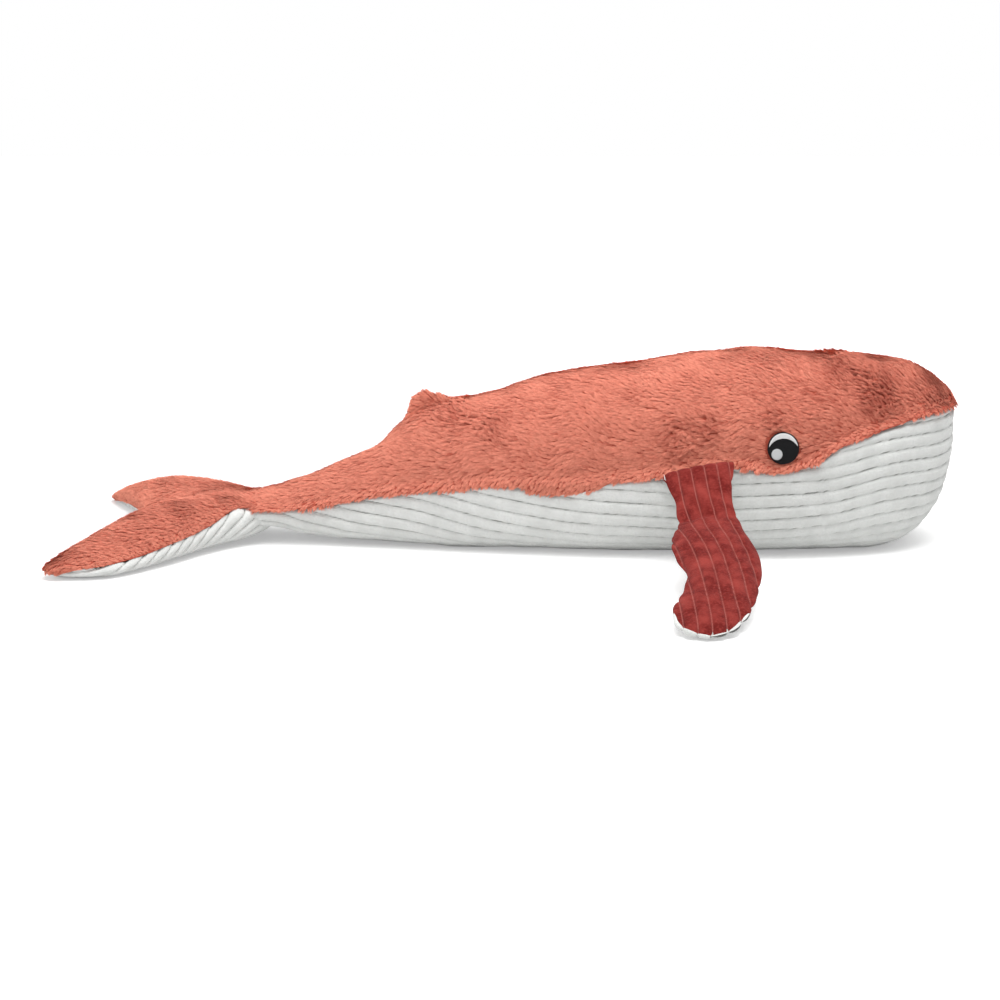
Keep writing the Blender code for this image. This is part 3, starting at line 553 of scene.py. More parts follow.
def body_points(along, around):
    """Points of the body's surface. around is the angle from the middle of the belly, up the right side."""
    half_width, top, bottom, widest = body_section(along)
    side, up = np.sin(around), -np.cos(around)
    reach, power = half_section(up > 0, top, bottom, widest)
    x = FLUKE_SEAM_X + along * BODY_LENGTH + 0 * around
    y = -half_width * signed_power(side, 2 / power)
    return np.stack((x, y, widest + reach * signed_power(up, 2 / power)), -1)


def seam_around(along):
    """The angle at which the side seam lies."""
    _, top, bottom, widest = body_section(along)
    height = NOSE_HEIGHT * share_at(SEAM_SHARES, along)
    reach, power = half_section(height > widest, top, bottom, widest)
    share = np.clip((height - widest) / np.maximum(reach, LEAST_LENGTH), -1, 1)
    return np.arccos(-signed_power(share, power / 2))


def body_stations(rows):
    """Shares of the body's length, from its rear to its nose, close together at the nose."""
    share = np.linspace(0, 1, rows)
    turn = math.pi / 2 * np.clip(1 - (1 - share) / NOSE_ROWS_SHARE, 0, 1)
    nose = NOSE_START_SHARE + (1 - NOSE_START_SHARE) * np.sin(turn)
    rest = BODY_REAR_SHARE + (NOSE_START_SHARE - BODY_REAR_SHARE) * share / (1 - NOSE_ROWS_SHARE)
    return np.where(share < 1 - NOSE_ROWS_SHARE, rest, nose)


def grid_normals(points, inside):
    """Unit normals of a grid of points, pointing away from the points inside."""
    normals = np.cross(np.gradient(points, axis=0), np.gradient(points, axis=1))
    length = np.linalg.norm(normals, axis=-1, keepdims=True)
    normals = normals / np.maximum(length, LEAST_AREA)
    if (normals * (points - inside)).sum() < 0:
        normals = -normals
    return normals


def roughness_of(points, size, shift):
    """Smooth noise from -1 to 1 at each point, with waves of about this size."""
    flat = points.reshape(-1, 3) / size + shift
    values = [noise.noise(Vector(spot)) for spot in flat.tolist()]
    return np.array(values).reshape(points.shape[:-1]) * 2


def rib_height(across, pitch):
    """How high a rib stands at this distance across the ribs, from 0 in a groove to 1 on a crest."""
    in_rib = np.abs(2 * (across / pitch % 1.0) - 1)
    return (1 - in_rib**RIB_SIDE_POWER) ** RIB_CREST_POWER


def vectors_of(elements, key):
    """One vector of each vertex, as rows."""
    flat = np.empty(len(elements) * 3, np.float32)
    elements.foreach_get(key, flat)
    return flat.reshape(-1, 3)


def mesh_of(bm, name):
    """A new smooth mesh of a bmesh, which is freed."""
    mesh = bpy.data.meshes.new(name)
    bm.to_mesh(mesh)
    bm.free()
    mesh.shade_smooth()
    return mesh


def merged(mesh):
    """The mesh with the points merged that lie on one another."""
    bm = bmesh.new()
    bm.from_mesh(mesh)
    bmesh.ops.remove_doubles(bm, verts=bm.verts, dist=MERGE_DISTANCE)
    bm.to_mesh(mesh)
    bm.free()
    mesh.shade_smooth()
    return mesh


def mesh_of_grid(name, points, normals, attributes):
    """A smooth sheet through a grid of points, its faces on the side of the normals."""
    rows, columns = points.shape[:2]
    bm = bmesh.new()
    bmesh.ops.create_grid(bm, x_segments=rows - 1, y_segments=columns - 1, size=1.0)
    mesh = mesh_of(bm, name)
    flat = vectors_of(mesh.vertices, "co")
    row = np.rint((flat[:, 0] + 1) / 2 * (rows - 1)).astype(int)
    column = np.rint((flat[:, 1] + 1) / 2 * (columns - 1)).astype(int)
    mesh.vertices.foreach_set("co", points[row, column].astype(np.float32).ravel())
    for key, values in attributes.items():
        layer = mesh.attributes.new(key, "FLOAT", "POINT")
        layer.data.foreach_set("value", values[row, column].astype(np.float32).ravel())
    mesh.update()
    if (vectors_of(mesh.vertices, "normal") * normals[row, column]).sum() < 0:
        mesh.flip_normals()
    return mesh


def add_object(name, data):
    """A new object in the scene."""
    made = bpy.data.objects.new(name, data)
    bpy.context.scene.collection.objects.link(made)
    return made


def add_piece(name, mesh, material):
    """A new object of the whale with its finish."""
    piece = add_object(name, mesh)
    mesh.materials.clear()
    mesh.materials.append(material)
    return piece


class Wire:
    """A shader value. Sums and products of wires and numbers add Math nodes."""

    def __init__(self, finish, socket):
        self.finish = finish
        self.socket = socket

    def math(self, operation, *values):
        return self.finish.add("ShaderNodeMath", {"operation": operation}, dict(enumerate(values)))

    def __add__(self, other):
        return self.math("ADD", self, other)

    __radd__ = __add__

    def __mul__(self, other):
        return self.math("MULTIPLY", self, other)

    __rmul__ = __mul__

    def __sub__(self, other):
        return self.math("SUBTRACT", self, other)

    def __rsub__(self, other):
        return self.math("SUBTRACT", other, self)

    def __truediv__(self, other):
        return self.math("DIVIDE", self, other)

    def __pow__(self, other):
        return self.math("POWER", self, other)

    def clamped(self):
        return self.finish.add("ShaderNodeClamp", {}, {"Value": self})


class Finish:
    """A node material with one Principled shader."""

    def __init__(self, name, constants):
        self.material = bpy.data.materials.new(name)
        self.material.use_nodes = True
        self.tree = self.material.node_tree
        self.shader = self.tree.nodes["Principled BSDF"]
        for key, value in constants.items():
            self.shader.inputs[key].default_value = value

    def add(self, kind, settings=None, inputs=None, output=0):
        """One output, as a wire, of a new node with these settings and values or wires of its sockets."""
        node = self.tree.nodes.new(kind)
        for key, value in (settings or {}).items():
            setattr(node, key, value)
        for key, value in (inputs or {}).items():
            self.connect(node.inputs[key], value)
        return Wire(self, node.outputs[output])

    def connect(self, socket, value):
        if isinstance(value, Wire):
            self.tree.links.new(value.socket, socket)
        elif socket.type == "RGBA" and len(value) == 3:
            socket.default_value = (*value, 1.0)
        else:
            socket.default_value = value

    def mix(self, factor, low, high):
        """A colour between two colours."""
        node = self.tree.nodes.new("ShaderNodeMix")
        node.data_type = "RGBA"
        for index, value in zip(MIX_INPUTS, (factor, low, high)):
            self.connect(node.inputs[index], value)
        return Wire(self, node.outputs[MIX_OUTPUT])

    def places(self):
        return self.add("ShaderNodeTexCoord", output="Object")

    def grain(self, size, detail=3.0, stretch=(1.0, 1.0, 1.0)):
        """Noise from about 0 to 1 on the object's coordinates, with grains of this size."""
        turned = self.add("ShaderNodeMapping", {}, {"Vector": self.places(), "Scale": stretch})
        return self.add("ShaderNodeTexNoise", {}, {"Vector": turned, "Scale": 1 / size, "Detail": detail})

    def attribute(self, name):
        return self.add("ShaderNodeAttribute", {"attribute_name": name}, {}, "Fac")

    def bump(self, height, distance, strength=1.0):
        values = {"Height": height, "Distance": distance, "Strength": strength}
        self.connect(self.shader.inputs["Normal"], self.add("ShaderNodeBump", {}, values, "Normal"))

    def colour(self, colour):
        self.connect(self.shader.inputs["Base Color"], colour)


def pile_finish(fur):
    """Fur: dark at the roots and light at the tips, with a shade for each tuft, on the tufts' own map."""
    finish = Finish("coral pile", {
        "Roughness": 0.8, "Specular IOR Level": 0.1, "Sheen Weight": 0.2, "Sheen Roughness": 0.4,
        "Sheen Tint": (1.0, 0.5, 0.4, 1.0)})
    spot = finish.add("ShaderNodeUVMap", {"uv_map": "OFBake"})
    split = finish.add("ShaderNodeSeparateXYZ", {}, {"Vector": spot}, "X")
    shade, from_root = split, Wire(finish, split.socket.node.outputs["Y"])
    colour = finish.mix(from_root**TIP_COLOUR_POWER, tuple(fur.root_colour), tuple(fur.tip_colour))
    deep = tuple(share * value for share, value in zip(DEEP_SHARES, fur.root_colour))
    finish.colour(finish.mix((DEEP_FROM_SHARE - shade).clamped(), colour, deep))
    return finish.material


def backing_finish(fur):
    """The knitted backing under the pile, seen only between tufts."""
    finish = Finish("pile backing", {"Roughness": 0.9})
    gaps = tuple(GAP_SHARE * value for value in fur.root_colour)
    finish.colour(finish.mix(finish.grain(BACKING_PATCH), gaps, tuple(fur.root_colour)))
    finish.bump(finish.grain(BACKING_LOOP), BACKING_DEPTH)
    return finish.material


def cord_finish(name, crest, groove, worn_and_sheen, groove_share, sheen):
    """Corduroy: ribs of one colour with patches, narrow grooves of another, and short fuzz. On the white
    belly the patches are wear and the grooves a painted shade; on the fins the patches are a painted sheen
    and the grooves a pale colour.
    """
    finish = Finish(name, {
        "Roughness": 0.9, "Specular IOR Level": 0.1, "Sheen Weight": sheen, "Sheen Roughness": 0.4})
    height = finish.attribute("rib")
    fine = finish.grain(FUZZ_SIZE, 4.0)
    patches = finish.grain(WEAR_AND_SHEEN_SIZE, 2.0)
    # The groove colour: on the white belly a painted shade for the shadow in the grooves, on the fins a pale
    # colour
    in_groove = ((groove_share - height + (fine - 0.5) * GROOVE_BLUR_SHARE) / groove_share).clamped()
    nap = finish.grain(NAP_SIZE, 3.0)
    # Patches and speckles: wear on the white belly, and on the fins a painted sheen of lighter pink
    rib = finish.mix((patches * WEAR_AND_SHEEN_CONTRAST - WEAR_AND_SHEEN_CUT).clamped(), crest, worn_and_sheen)
    speckled = finish.mix((nap * NAP_CONTRAST - NAP_CUT).clamped() * NAP_SHARE, rib, worn_and_sheen)
    finish.colour(finish.mix(in_groove, speckled, groove))
    finish.bump(fine, FUZZ_DEPTH, FUZZ_STRENGTH)
    return finish.material


def thread_finish(name, colour, turn):
    """Satin stitch: fine parallel threads with a soft gloss, and painted shade in the lines between them."""
    finish = Finish(name, {"Roughness": 0.6, "Specular IOR Level": 0.25})
    turned = finish.add("ShaderNodeMapping", {}, {"Vector": finish.places(), "Rotation": (0.0, turn, 0.0)})
    threads = finish.add(
        "ShaderNodeTexWave", {"wave_type": "BANDS", "bands_direction": "X"},
        {"Vector": turned, "Scale": THREAD_SCALE, "Distortion": THREAD_WOBBLE, "Detail": 2.0})
    shaded_between_threads = tuple(THREAD_GAP_SHADE_SHARE * value for value in colour)
    finish.colour(finish.mix(threads, shaded_between_threads, colour))
    finish.bump(threads, THREAD_DEPTH, THREAD_STRENGTH)
    return finish.material


def tuft_places(points):
    """1 where the pile is rough and dark, beside the fins' roots and on the brow, down to 0 elsewhere."""
    near = np.zeros(len(points))
    for x, z, reach in ROUGH_SPOTS:
        away = np.hypot(points[:, 0] - x, points[:, 2] - z)
        near = np.maximum(near, smooth_step(ROUGH_EDGE_SHARE - ROUGH_EDGE_SHARE * away / reach))
    return near


def eye_distance(points):
    """How far each point is from the middle of the nearest eye, in the plane of the face."""
    across = points[:, 0] - EYE_X
    up = points[:, 2] - EYE_HEIGHT
    return np.where(np.abs(points[:, 1]) > BODY_WIDTH / 4, np.hypot(across, up), FAR_AWAY)


def scattered(mesh, count, rng):
    """Random points spread evenly over a mesh, with its smooth normals there."""
    mesh.calc_loop_triangles()
    corners = np.empty(len(mesh.loop_triangles) * 3, np.int32)
    mesh.loop_triangles.foreach_get("vertices", corners)
    corners = corners.reshape(-1, 3)
    places = vectors_of(mesh.vertices, "co").astype(float)
    facing = vectors_of(mesh.vertices, "normal").astype(float)
    triangles = places[corners]
    areas = np.linalg.norm(
        np.cross(triangles[:, 1] - triangles[:, 0], triangles[:, 2] - triangles[:, 0]), axis=1) / 2
    chosen = rng.choice(len(areas), int(count * areas.sum()), p=areas / areas.sum())
    a, b = np.sqrt(rng.random((1, len(chosen)))), rng.random((1, len(chosen)))
    weights = np.concatenate((1 - a, a * (1 - b), a * b)).T[:, :, None]
    points = (triangles[chosen] * weights).sum(1)
    normals = (facing[corners[chosen]] * weights).sum(1)
    return points, normals / np.linalg.norm(normals, axis=1, keepdims=True)


def unit(vectors):
    return vectors / np.maximum(np.linalg.norm(vectors, axis=1, keepdims=True), LEAST_SLOPE)


def leaning(normals, flow, turned, lifted):
    """Unit vectors that lie along flow on a surface, turned on it and lifted off it by these angles."""
    along = unit(flow - (flow * normals).sum(1, keepdims=True) * normals)
    ahead = along * np.cos(turned)[:, None] + np.cross(normals, along) * np.sin(turned)[:, None]
    return ahead * np.cos(lifted)[:, None] + normals * np.sin(lifted)[:, None], ahead


def nearest_of(points, middles):
    """Which of the middles is the nearest to each point."""
    tree = KDTree(len(middles))
    for index, spot in enumerate(middles.tolist()):
        tree.insert(spot, index)
    tree.balance()
    return np.array([tree.find(spot)[1] for spot in points.tolist()])


def clump_looks(middles, lift, length, seam, rng):
    """How far each clump is turned and lifted, how light it is, with a painted highlight near the middle line
    along the top, and how long.
    """
    count = len(middles)
    patch = roughness_of(middles, PATCH_SIZE, PATCH_SHIFT)
    swirl = roughness_of(middles, SWIRL_SIZE, SWIRL_SHIFT)
    dark = tuft_places(middles)
    fringe = 1 - smooth_step((middles[:, 2] - seam(middles)) / FRINGE_REACH)
    rough = np.maximum(dark, ROUGH_FRINGE_SHARE * fringe)
    head = smooth_step((middles[:, 0] - HEAD_SHADE_START) / HEAD_SHADE_REACH)
    # Painted highlight: 1 on the middle line, where the top is made lighter, down to 0 at its reach
    ridge = 1 - smooth_step(np.abs(middles[:, 1]) / PAINTED_HIGHLIGHT_REACH)
    turns = swirl * CLUMP_SWIRL + rng.normal(0, CLUMP_TURN, count) + rough * rng.normal(0, ROUGH_TURN, count)
    lifts = lift + patch * PATCH_LIFT + rng.normal(0, CLUMP_LIFT, count)
    lifts = lifts + dark * DARK_LIFT - fringe * FRINGE_FALL
    shades = SHADE_MIDDLE_SHARE + patch * SHADE_PATCH_SHARE + rng.normal(0, SHADE_SPREAD_SHARE, count)
    shades = shades + ridge * RIDGE_PAINTED_HIGHLIGHT_SHARE
    shades -= dark * DARK_SHADE_SHARE + fringe * FRINGE_SHADE_SHARE + head * HEAD_SHADE_SHARE
    lengths = length * (1 + rng.normal(0, LENGTH_SPREAD_SHARE, count) + dark * DARK_LENGTH_SHARE)
    return turns, lifts, shades, lengths * (1 - FRINGE_TRIM_SHARE * fringe)


def random_shares(shares, count, rng):
    """Random shares, one to a row, from the least over its span."""
    least, span = shares
    return (least + span * rng.random(count))[:, None]


def pile_on(name, mesh, material, flow, seam, rng, length_share=1.0, last_x=1.0):
    """The pile on one skin: tufts leaning along flow, gathered in clumps, as pieces of a limited size.

    seam gives the height of the seam beside a point, where the pile hangs as a fringe.
    """
    fur = sizes()[0]
    points, normals = scattered(mesh, fur.per_square_mm / MILLIMETRE**2, rng)
    count = len(points)
    length = fur.length * length_share
    clump_count = max(int(count / (fur.per_square_mm * (fur.clump / MILLIMETRE) ** 2)), 2)
    chosen = rng.choice(count, clump_count, replace=False)
    middles = points[chosen]
    clump = nearest_of(points, middles)
    turn, lift, shade, reach = clump_looks(middles, fur.lift, length, seam, rng)

    lean, ahead = leaning(
        normals, flow(points), turn[clump] + rng.normal(0, TUFT_TURN, count),
        np.clip(lift[clump] + rng.normal(0, TUFT_LIFT, count), *TUFT_LIFT_RANGE))
    clump_lean, _ = leaning(normals[chosen], flow(middles), turn, np.clip(lift, *CLUMP_LIFT_RANGE))
    clump_tips = middles + clump_lean * reach[:, None]

    roots = points - normals * length * TUFT_DEPTH_SHARE
    tips = roots + lean * (reach[clump][:, None] * random_shares(TUFT_LENGTH_SHARES, count, rng))
    tips += (clump_tips[clump] - tips) * random_shares(TUFT_GATHER_SHARES, count, rng)
    roll = rng.normal(0, TUFT_ROLL, count)[:, None]
    side = unit(np.cross(ahead, normals)) * np.cos(roll) + normals * np.sin(roll)
    half = fur.width / 2 * random_shares(TUFT_WIDTH_SHARES, count, rng)
    eye_radius = EYE_DIAMETER / 2
    keep = (eye_distance(points) > eye_radius) & (eye_distance(tips) > eye_radius - EYE_PUFF)
    keep &= points[:, 0] < last_x
    tone = np.clip(shade[clump] + rng.normal(0, TONE_SPREAD_SHARE, count), 0, TOP_TONE_SHARE)[keep]
    corners = np.stack((roots - side * half, roots + side * half, tips), 1)[keep]
    order = np.argsort(-corners[:, 0, 0], kind="stable")
    groups = np.array_split(order, math.ceil(len(order) / TUFTS_IN_PIECE))
    pieces = []
    for number, group in enumerate(groups, 1):
        tufts = tuft_mesh(f"{name}_{number}", corners[group], tone[group])
        pieces.append(add_piece(tufts.name, tufts, material))
    return pieces


def tuft_mesh(name, corners, tone):
    """A mesh of pointed tufts, with a map of shade across and root to tip up."""
    count = len(corners)
    mesh = bpy.data.meshes.new(name)
    mesh.vertices.add(count * 3)
    mesh.vertices.foreach_set("co", corners.astype(np.float32).ravel())
    mesh.loops.add(count * 3)
    mesh.loops.foreach_set("vertex_index", np.arange(count * 3, dtype=np.int32))
    mesh.polygons.add(count)
    mesh.polygons.foreach_set("loop_start", np.arange(0, count * 3, 3, dtype=np.int32))
    column = np.floor(tone * SHADE_STEPS) / SHADE_STEPS
    across = column[:, None] + np.array(TUFT_SHADE_SHARES) / SHADE_STEPS
    up = np.broadcast_to((TUFT_ROOT_SHARE, TUFT_ROOT_SHARE, 1 - TUFT_ROOT_SHARE), across.shape)
    layer = mesh.uv_layers.new(name="OFBake")
    layer.uv.foreach_set("vector", np.stack((across, up), -1).astype(np.float32).ravel())
    mesh.update(calc_edges=True)
    mesh.validate()
    return mesh


def seam_height(points):
    """Height of the side seam beside points of the body."""
    return NOSE_HEIGHT * share_at(SEAM_SHARES, (points[..., 0] - FLUKE_SEAM_X) / BODY_LENGTH)


def back_flow(points):
    """Which way the back's pile lies: to the tail, a little down on the flanks and hanging at the seam."""
    low = smooth_step((NOSE_HEIGHT - points[:, 2]) / TAIL_HEIGHT)
    fringe = 1 - smooth_step((points[:, 2] - seam_height(points)) / FRINGE_REACH)
    side = -FLOW_OUT_SHARE * np.sign(points[:, 1])
    down = -FLOW_DOWN_SHARE * low - FRINGE_HANG_SHARE * fringe - FLOW_SINK_SHARE
    return np.stack((np.full(len(points), -1.0), side, down), 1)


def fluke_flow(points):
    """Which way the flukes' pile lies: on from the back's pile, then back and out to the tips."""
    out = np.clip(points[:, 1] / FLUKE_HALF_SPAN, -1, 1)
    level = np.ones(len(points))
    spread = np.stack((-level, out * FLUKE_FLOW_OUT_SHARE, -FLUKE_FLOW_DOWN_SHARE * level), 1)
    share = smooth_step((FLUKE_PILE_X - points[:, 0]) / FLUKE_TURN_REACH)[:, None]
    return unit(back_flow(points)) * (1 - share) + unit(spread) * share


def body_axis(along):
    """Points on the body's middle line, to tell inside from outside."""
    _, top, bottom, _ = body_section(along)
    x = FLUKE_SEAM_X + along * BODY_LENGTH - AXIS_SET_BACK
    return np.stack((x, 0 * along, (top + bottom) / 2), -1)


def back_skin():
    """The back panels' backing, from the right seam over the back to the left one."""
    along = body_stations(BACK_ROWS)[:, None]
    half_width, top, bottom, _ = body_section(along)
    radius = np.maximum((half_width + (top - bottom) / 2) / 2, LEAST_RADIUS)
    low = seam_around(along) - SEAM_OVERLAP / radius
    around = low + (2 * math.pi - 2 * low) * np.linspace(0, 1, BACK_COLUMNS)[None, :]
    points = body_points(along, around)
    normals = grid_normals(points, body_axis(along))
    lumps = roughness_of(points, LARGE_LUMP, LARGE_LUMP_SHIFT) * LARGE_LUMP_HEIGHT
    lumps = lumps + roughness_of(points, SMALL_LUMP, SMALL_LUMP_SHIFT) * SMALL_LUMP_HEIGHT
    nose_fade = smooth_step((1 - along) / NOSE_CALM_SHARE)
    from_edge = np.minimum(around - low, 2 * math.pi - low - around) * radius
    inner = smooth_step(from_edge / EDGE_REACH)
    rear = 1 - smooth_step((along - BODY_REAR_SHARE) * BODY_LENGTH / EDGE_REACH)
    raised = (lumps * nose_fade - PILE_DEPTH) * inner + EDGE_RAISE * (1 - inner) - REAR_SINK * rear
    points = points + normals * raised[..., None]
    push = smooth_step(1 - (1 - along) / NOSE_PUSH_SHARE) * (NOSE_EDGE_SHARE + (1 - NOSE_EDGE_SHARE) * inner)
    points[..., 0] += NOSE_PUSH * push
    return mesh_of_grid("back_backing", points, normals, {})


def outside_share(points):
    """How far points are outside the body: below 0 inside, 0 on the surface and above 0 outside."""
    along = (points[..., 0] - FLUKE_SEAM_X) / BODY_LENGTH
    half_width, top, bottom, widest = body_section(along)
    up = points[..., 2] - widest
    reach, power = half_section(up > 0, top, bottom, widest)
    side = np.abs(points[..., 1]) / np.maximum(half_width, LEAST_LENGTH)
    height = np.abs(up) / np.maximum(reach, LEAST_LENGTH)
    share = np.minimum(side, FAR_OUT_SHARE) ** power + np.minimum(height, FAR_OUT_SHARE) ** power - 1
    return np.where(along > 1, np.maximum(share, 1.0), share)


def surface_from(centres, directions):
    """Where rays from points inside the body leave it."""
    near = np.zeros(centres.shape[:-1])
    far = near + BODY_WIDTH
    for _ in range(HALVINGS):
        middle = (near + far) / 2
        inside = outside_share(centres + directions * middle[..., None]) < 0
        near, far = np.where(inside, middle, near), np.where(inside, far, middle)
    return centres + directions * near[..., None]


def surface_normals(points):
    """Outward normals of the body's surface."""
    steps = SLOPE_STEP * np.eye(3)
    slopes = [outside_share(points + step) - outside_share(points - step) for step in steps]
    normals = np.stack(slopes, -1)
    return normals / np.maximum(np.linalg.norm(normals, axis=-1, keepdims=True), LEAST_SLOPE)


def belly_mesh(cord):
    """The belly panel, tucked in at the seam. Its ribs run along the body and round the front of the jaw.

    Each row is a section of the body: square to its length up to the middle of the jaw, then on planes that
    fan out about an upright line there, so that the rows of both sides meet at the front of the face.
    """
    straight = np.linspace(FLUKE_SEAM_X + BODY_REAR_SHARE * BODY_LENGTH, JAW_CENTRE_X, BELLY_ROWS)
    fan = np.linspace(0, math.pi / 2, JAW_ROWS)[1:]
    centre_x = np.concatenate((straight, np.full(len(fan), JAW_CENTRE_X)))
    turn = np.concatenate((np.zeros(BELLY_ROWS), fan))
    rows = len(centre_x)
    _, top, bottom, _ = body_section((centre_x - FLUKE_SEAM_X) / BODY_LENGTH)
    centre_z = bottom + (top - bottom) * BELLY_CENTRE_SHARE
    centres = np.stack((centre_x, 0 * centre_x, centre_z), -1)[:, None, :]
    sweep = np.linspace(0, math.radians(BELLY_SWEEP_DEG), BELLY_SWEEP_STEPS)[None, :]
    side_way = np.stack((np.sin(turn), -np.cos(turn), 0 * turn), -1)[:, None, :]
    directions = side_way * np.sin(sweep)[..., None] - np.array((0, 0, 1)) * np.cos(sweep)[..., None]
    curve = surface_from(np.broadcast_to(centres, directions.shape), directions)
    steps = np.linalg.norm(np.diff(curve, axis=1), axis=2)
    distance = np.concatenate((np.zeros((rows, 1)), np.cumsum(steps, axis=1)), axis=1)
    last = np.argmax(curve[..., 2] > seam_height(curve) + SEAM_TUCK, axis=1)
    whole = distance[np.arange(rows), last]

    share = np.linspace(-1, 1, BELLY_COLUMNS)
    wanted = np.abs(share)[None, :] * whole[:, None]
    angle = np.stack([np.interp(wanted[k], distance[k], sweep[0]) for k in range(rows)])[..., None]
    directions = side_way * np.sin(angle) - np.array((0, 0, 1)) * np.cos(angle)
    points = surface_from(np.broadcast_to(centres, directions.shape), directions)
    normals = surface_normals(points)
    drift = roughness_of(points, BELLY_WAVE, BELLY_DRIFT_SHIFT) * BELLY_RIB_DRIFT
    height = rib_height(wanted + cord.pitch / 2 + drift, cord.pitch)
    soft = roughness_of(points, BELLY_DENT, BELLY_DENT_SHIFT) * BELLY_DENT_DEPTH
    soft = soft + roughness_of(points, BELLY_WAVE, BELLY_WAVE_SHIFT) * BELLY_WAVE_HEIGHT
    tuck = smooth_step((wanted - whole[:, None] + TUCK_REACH) / TUCK_FULL)
    raised = ((height - RIB_MIDDLE_SHARE) * cord.depth + soft) * (1 - tuck) - tuck * TUCK_DEPTH
    near_tip = smooth_step((points[..., 0] - NOSE_TIP_X) / NOSE_TIP_REACH)[..., None]
    normals = normals * (1 - near_tip) + directions * near_tip
    points = points + normals * raised[..., None]
    mirror = np.array((1.0, -1.0, 1.0))
    points[:, share < 0] *= mirror
    normals[:, share < 0] *= mirror
    points[..., 2] = np.maximum(points[..., 2], 0.0)
    return merged(mesh_of_grid("belly_panel", points, normals, {"rib": height}))


def fluke_edges(out):
    """X of the flukes' leading and trailing edge, this share of the way out to a tip."""
    tables = (FLUKE_LEAD_SHARES, FLUKE_TRAIL_SHARES)
    return [FLUKE_SEAM_X - FLUKE_LENGTH * share_at(shares, out) for shares in tables]


def fluke_points(across, around):
    """Points of the flukes' surface. across runs from -1 at the right tip to 1 at the left one."""
    out = np.abs(across)
    lead, trail = fluke_edges(out)
    middle = fluke_middle(across, (1 - np.cos(around)) / 2)
    up = np.sin(around)
    raised = (FLUKE_THICKNESS / 2 - PILE_DEPTH) * share_at(FLUKE_THICKNESS_SHARES, out)
    lowered = middle * share_at(FLUKE_UNDER_SHARES, out)
    lift = np.where(
        up > 0, raised * np.abs(up) ** FLUKE_EDGE_POWER, -lowered * np.abs(up) ** FLUKE_UNDER_POWER)
    bulge = FLUKE_BULGE * np.where(up < 0, np.abs(up) ** 0.5, 0) * (1 - out)
    return np.stack((
        (lead + trail) / 2 + ((lead - trail) / 2 + bulge) * np.cos(around),
        across * FLUKE_HALF_SPAN + 0 * around,
        middle + lift,
    ), -1)


def fluke_middle(across, back):
    """Height of the surface halfway through the fluke, this share of the way back from its leading edge."""
    out = np.abs(across)
    height = FLUKE_ROOT_HEIGHT * share_at(FLUKE_HEIGHT_SHARES, out) - FLUKE_TRAIL_DROP * (1 - out) * back**2
    hanging = smooth_step((across - FLUKE_LEFT_DROP_SHARE) / (1 - FLUKE_LEFT_DROP_SHARE))
    return height - FLUKE_LEFT_DROP * hanging


def rolled_ball(rows, segments):
    """A ball of radius 1, rolled up from a grid, so that its faces have the same order in each run."""
    bm = bmesh.new()
    bmesh.ops.create_grid(bm, x_segments=rows, y_segments=segments, size=1.0)
    for vert in bm.verts:
        from_pole = math.pi / 2 * (vert.co.x + 1)
        around = math.pi * vert.co.y
        ring = math.sin(from_pole)
        vert.co = (ring * math.cos(around), ring * math.sin(around), math.cos(from_pole))
    bmesh.ops.remove_doubles(bm, verts=bm.verts, dist=MERGE_DISTANCE)
    return bm


def ball_mesh(name, rows, segments, place):
    """A closed form made from a ball: place gives points for shares from pole to pole and angles."""
    bm = rolled_ball(rows, segments)
    x, y, z = np.array([vert.co for vert in bm.verts]).T
    around = np.where(np.hypot(x, y) > LEAST_LENGTH, np.arctan2(y, x), 0)
    moved = place(np.arccos(np.clip(z, -1, 1)) / math.pi, around)
    for vert, spot in zip(bm.verts, moved.tolist()):
        vert.co = spot
    bmesh.ops.recalc_face_normals(bm, faces=bm.faces)
    if bm.calc_volume(signed=True) < 0:
        bmesh.ops.reverse_faces(bm, faces=bm.faces)
    return mesh_of(bm, name)


def stub_points(from_front, around):
    """Points of the end of the tail, sunk under the body's cloth at its front."""
    along = FLUKE_JOIN_REACH_SHARE * np.cos(math.pi * from_front / 2) - STUB_SET_BACK_SHARE
    points = body_points(along, around)
    half_width, top, bottom, _ = body_section(along)
    sink = PILE_DEPTH + FLUKE_SINK * smooth_step((points[:, 0] - FLUKE_SINK_X) / FLUKE_SINK_REACH)
    middle = (top + bottom) / 2
    points[:, 1] *= 1 - sink / half_width
    points[:, 2] = middle + (points[:, 2] - middle) * (1 - 2 * sink / (top - bottom))
    return points


def fluke_form():
    """The flukes and the end of the tail as one soft form."""
    lobes = ball_mesh(
        "lobes", FLUKE_ROWS, FLUKE_SEGMENTS,
        lambda from_tip, around: fluke_points(-np.cos(math.pi * from_tip), around))
    stub = ball_mesh("stub", STUB_ROWS, FLUKE_SEGMENTS, stub_points)
    bm = bmesh.new()
    bm.from_mesh(lobes)
    bm.from_mesh(stub)
    form = add_object("fluke_form", mesh_of(bm, "fluke_form"))
    remesh = form.modifiers.new("one skin", "REMESH")
    remesh.mode = "VOXEL"
    remesh.voxel_size = FLUKE_VOXEL
    bpy.context.view_layer.update()
    evaluated = form.evaluated_get(bpy.context.evaluated_depsgraph_get())
    mesh = bpy.data.meshes.new_from_object(evaluated)
    bpy.data.objects.remove(form)
    bm = bmesh.new()
    bm.from_mesh(mesh)
    for _ in range(FLUKE_SMOOTH_PASSES):
        bmesh.ops.smooth_vert(
            bm, verts=bm.verts, factor=0.5, use_axis_x=True, use_axis_y=True, use_axis_z=True)
    return bm


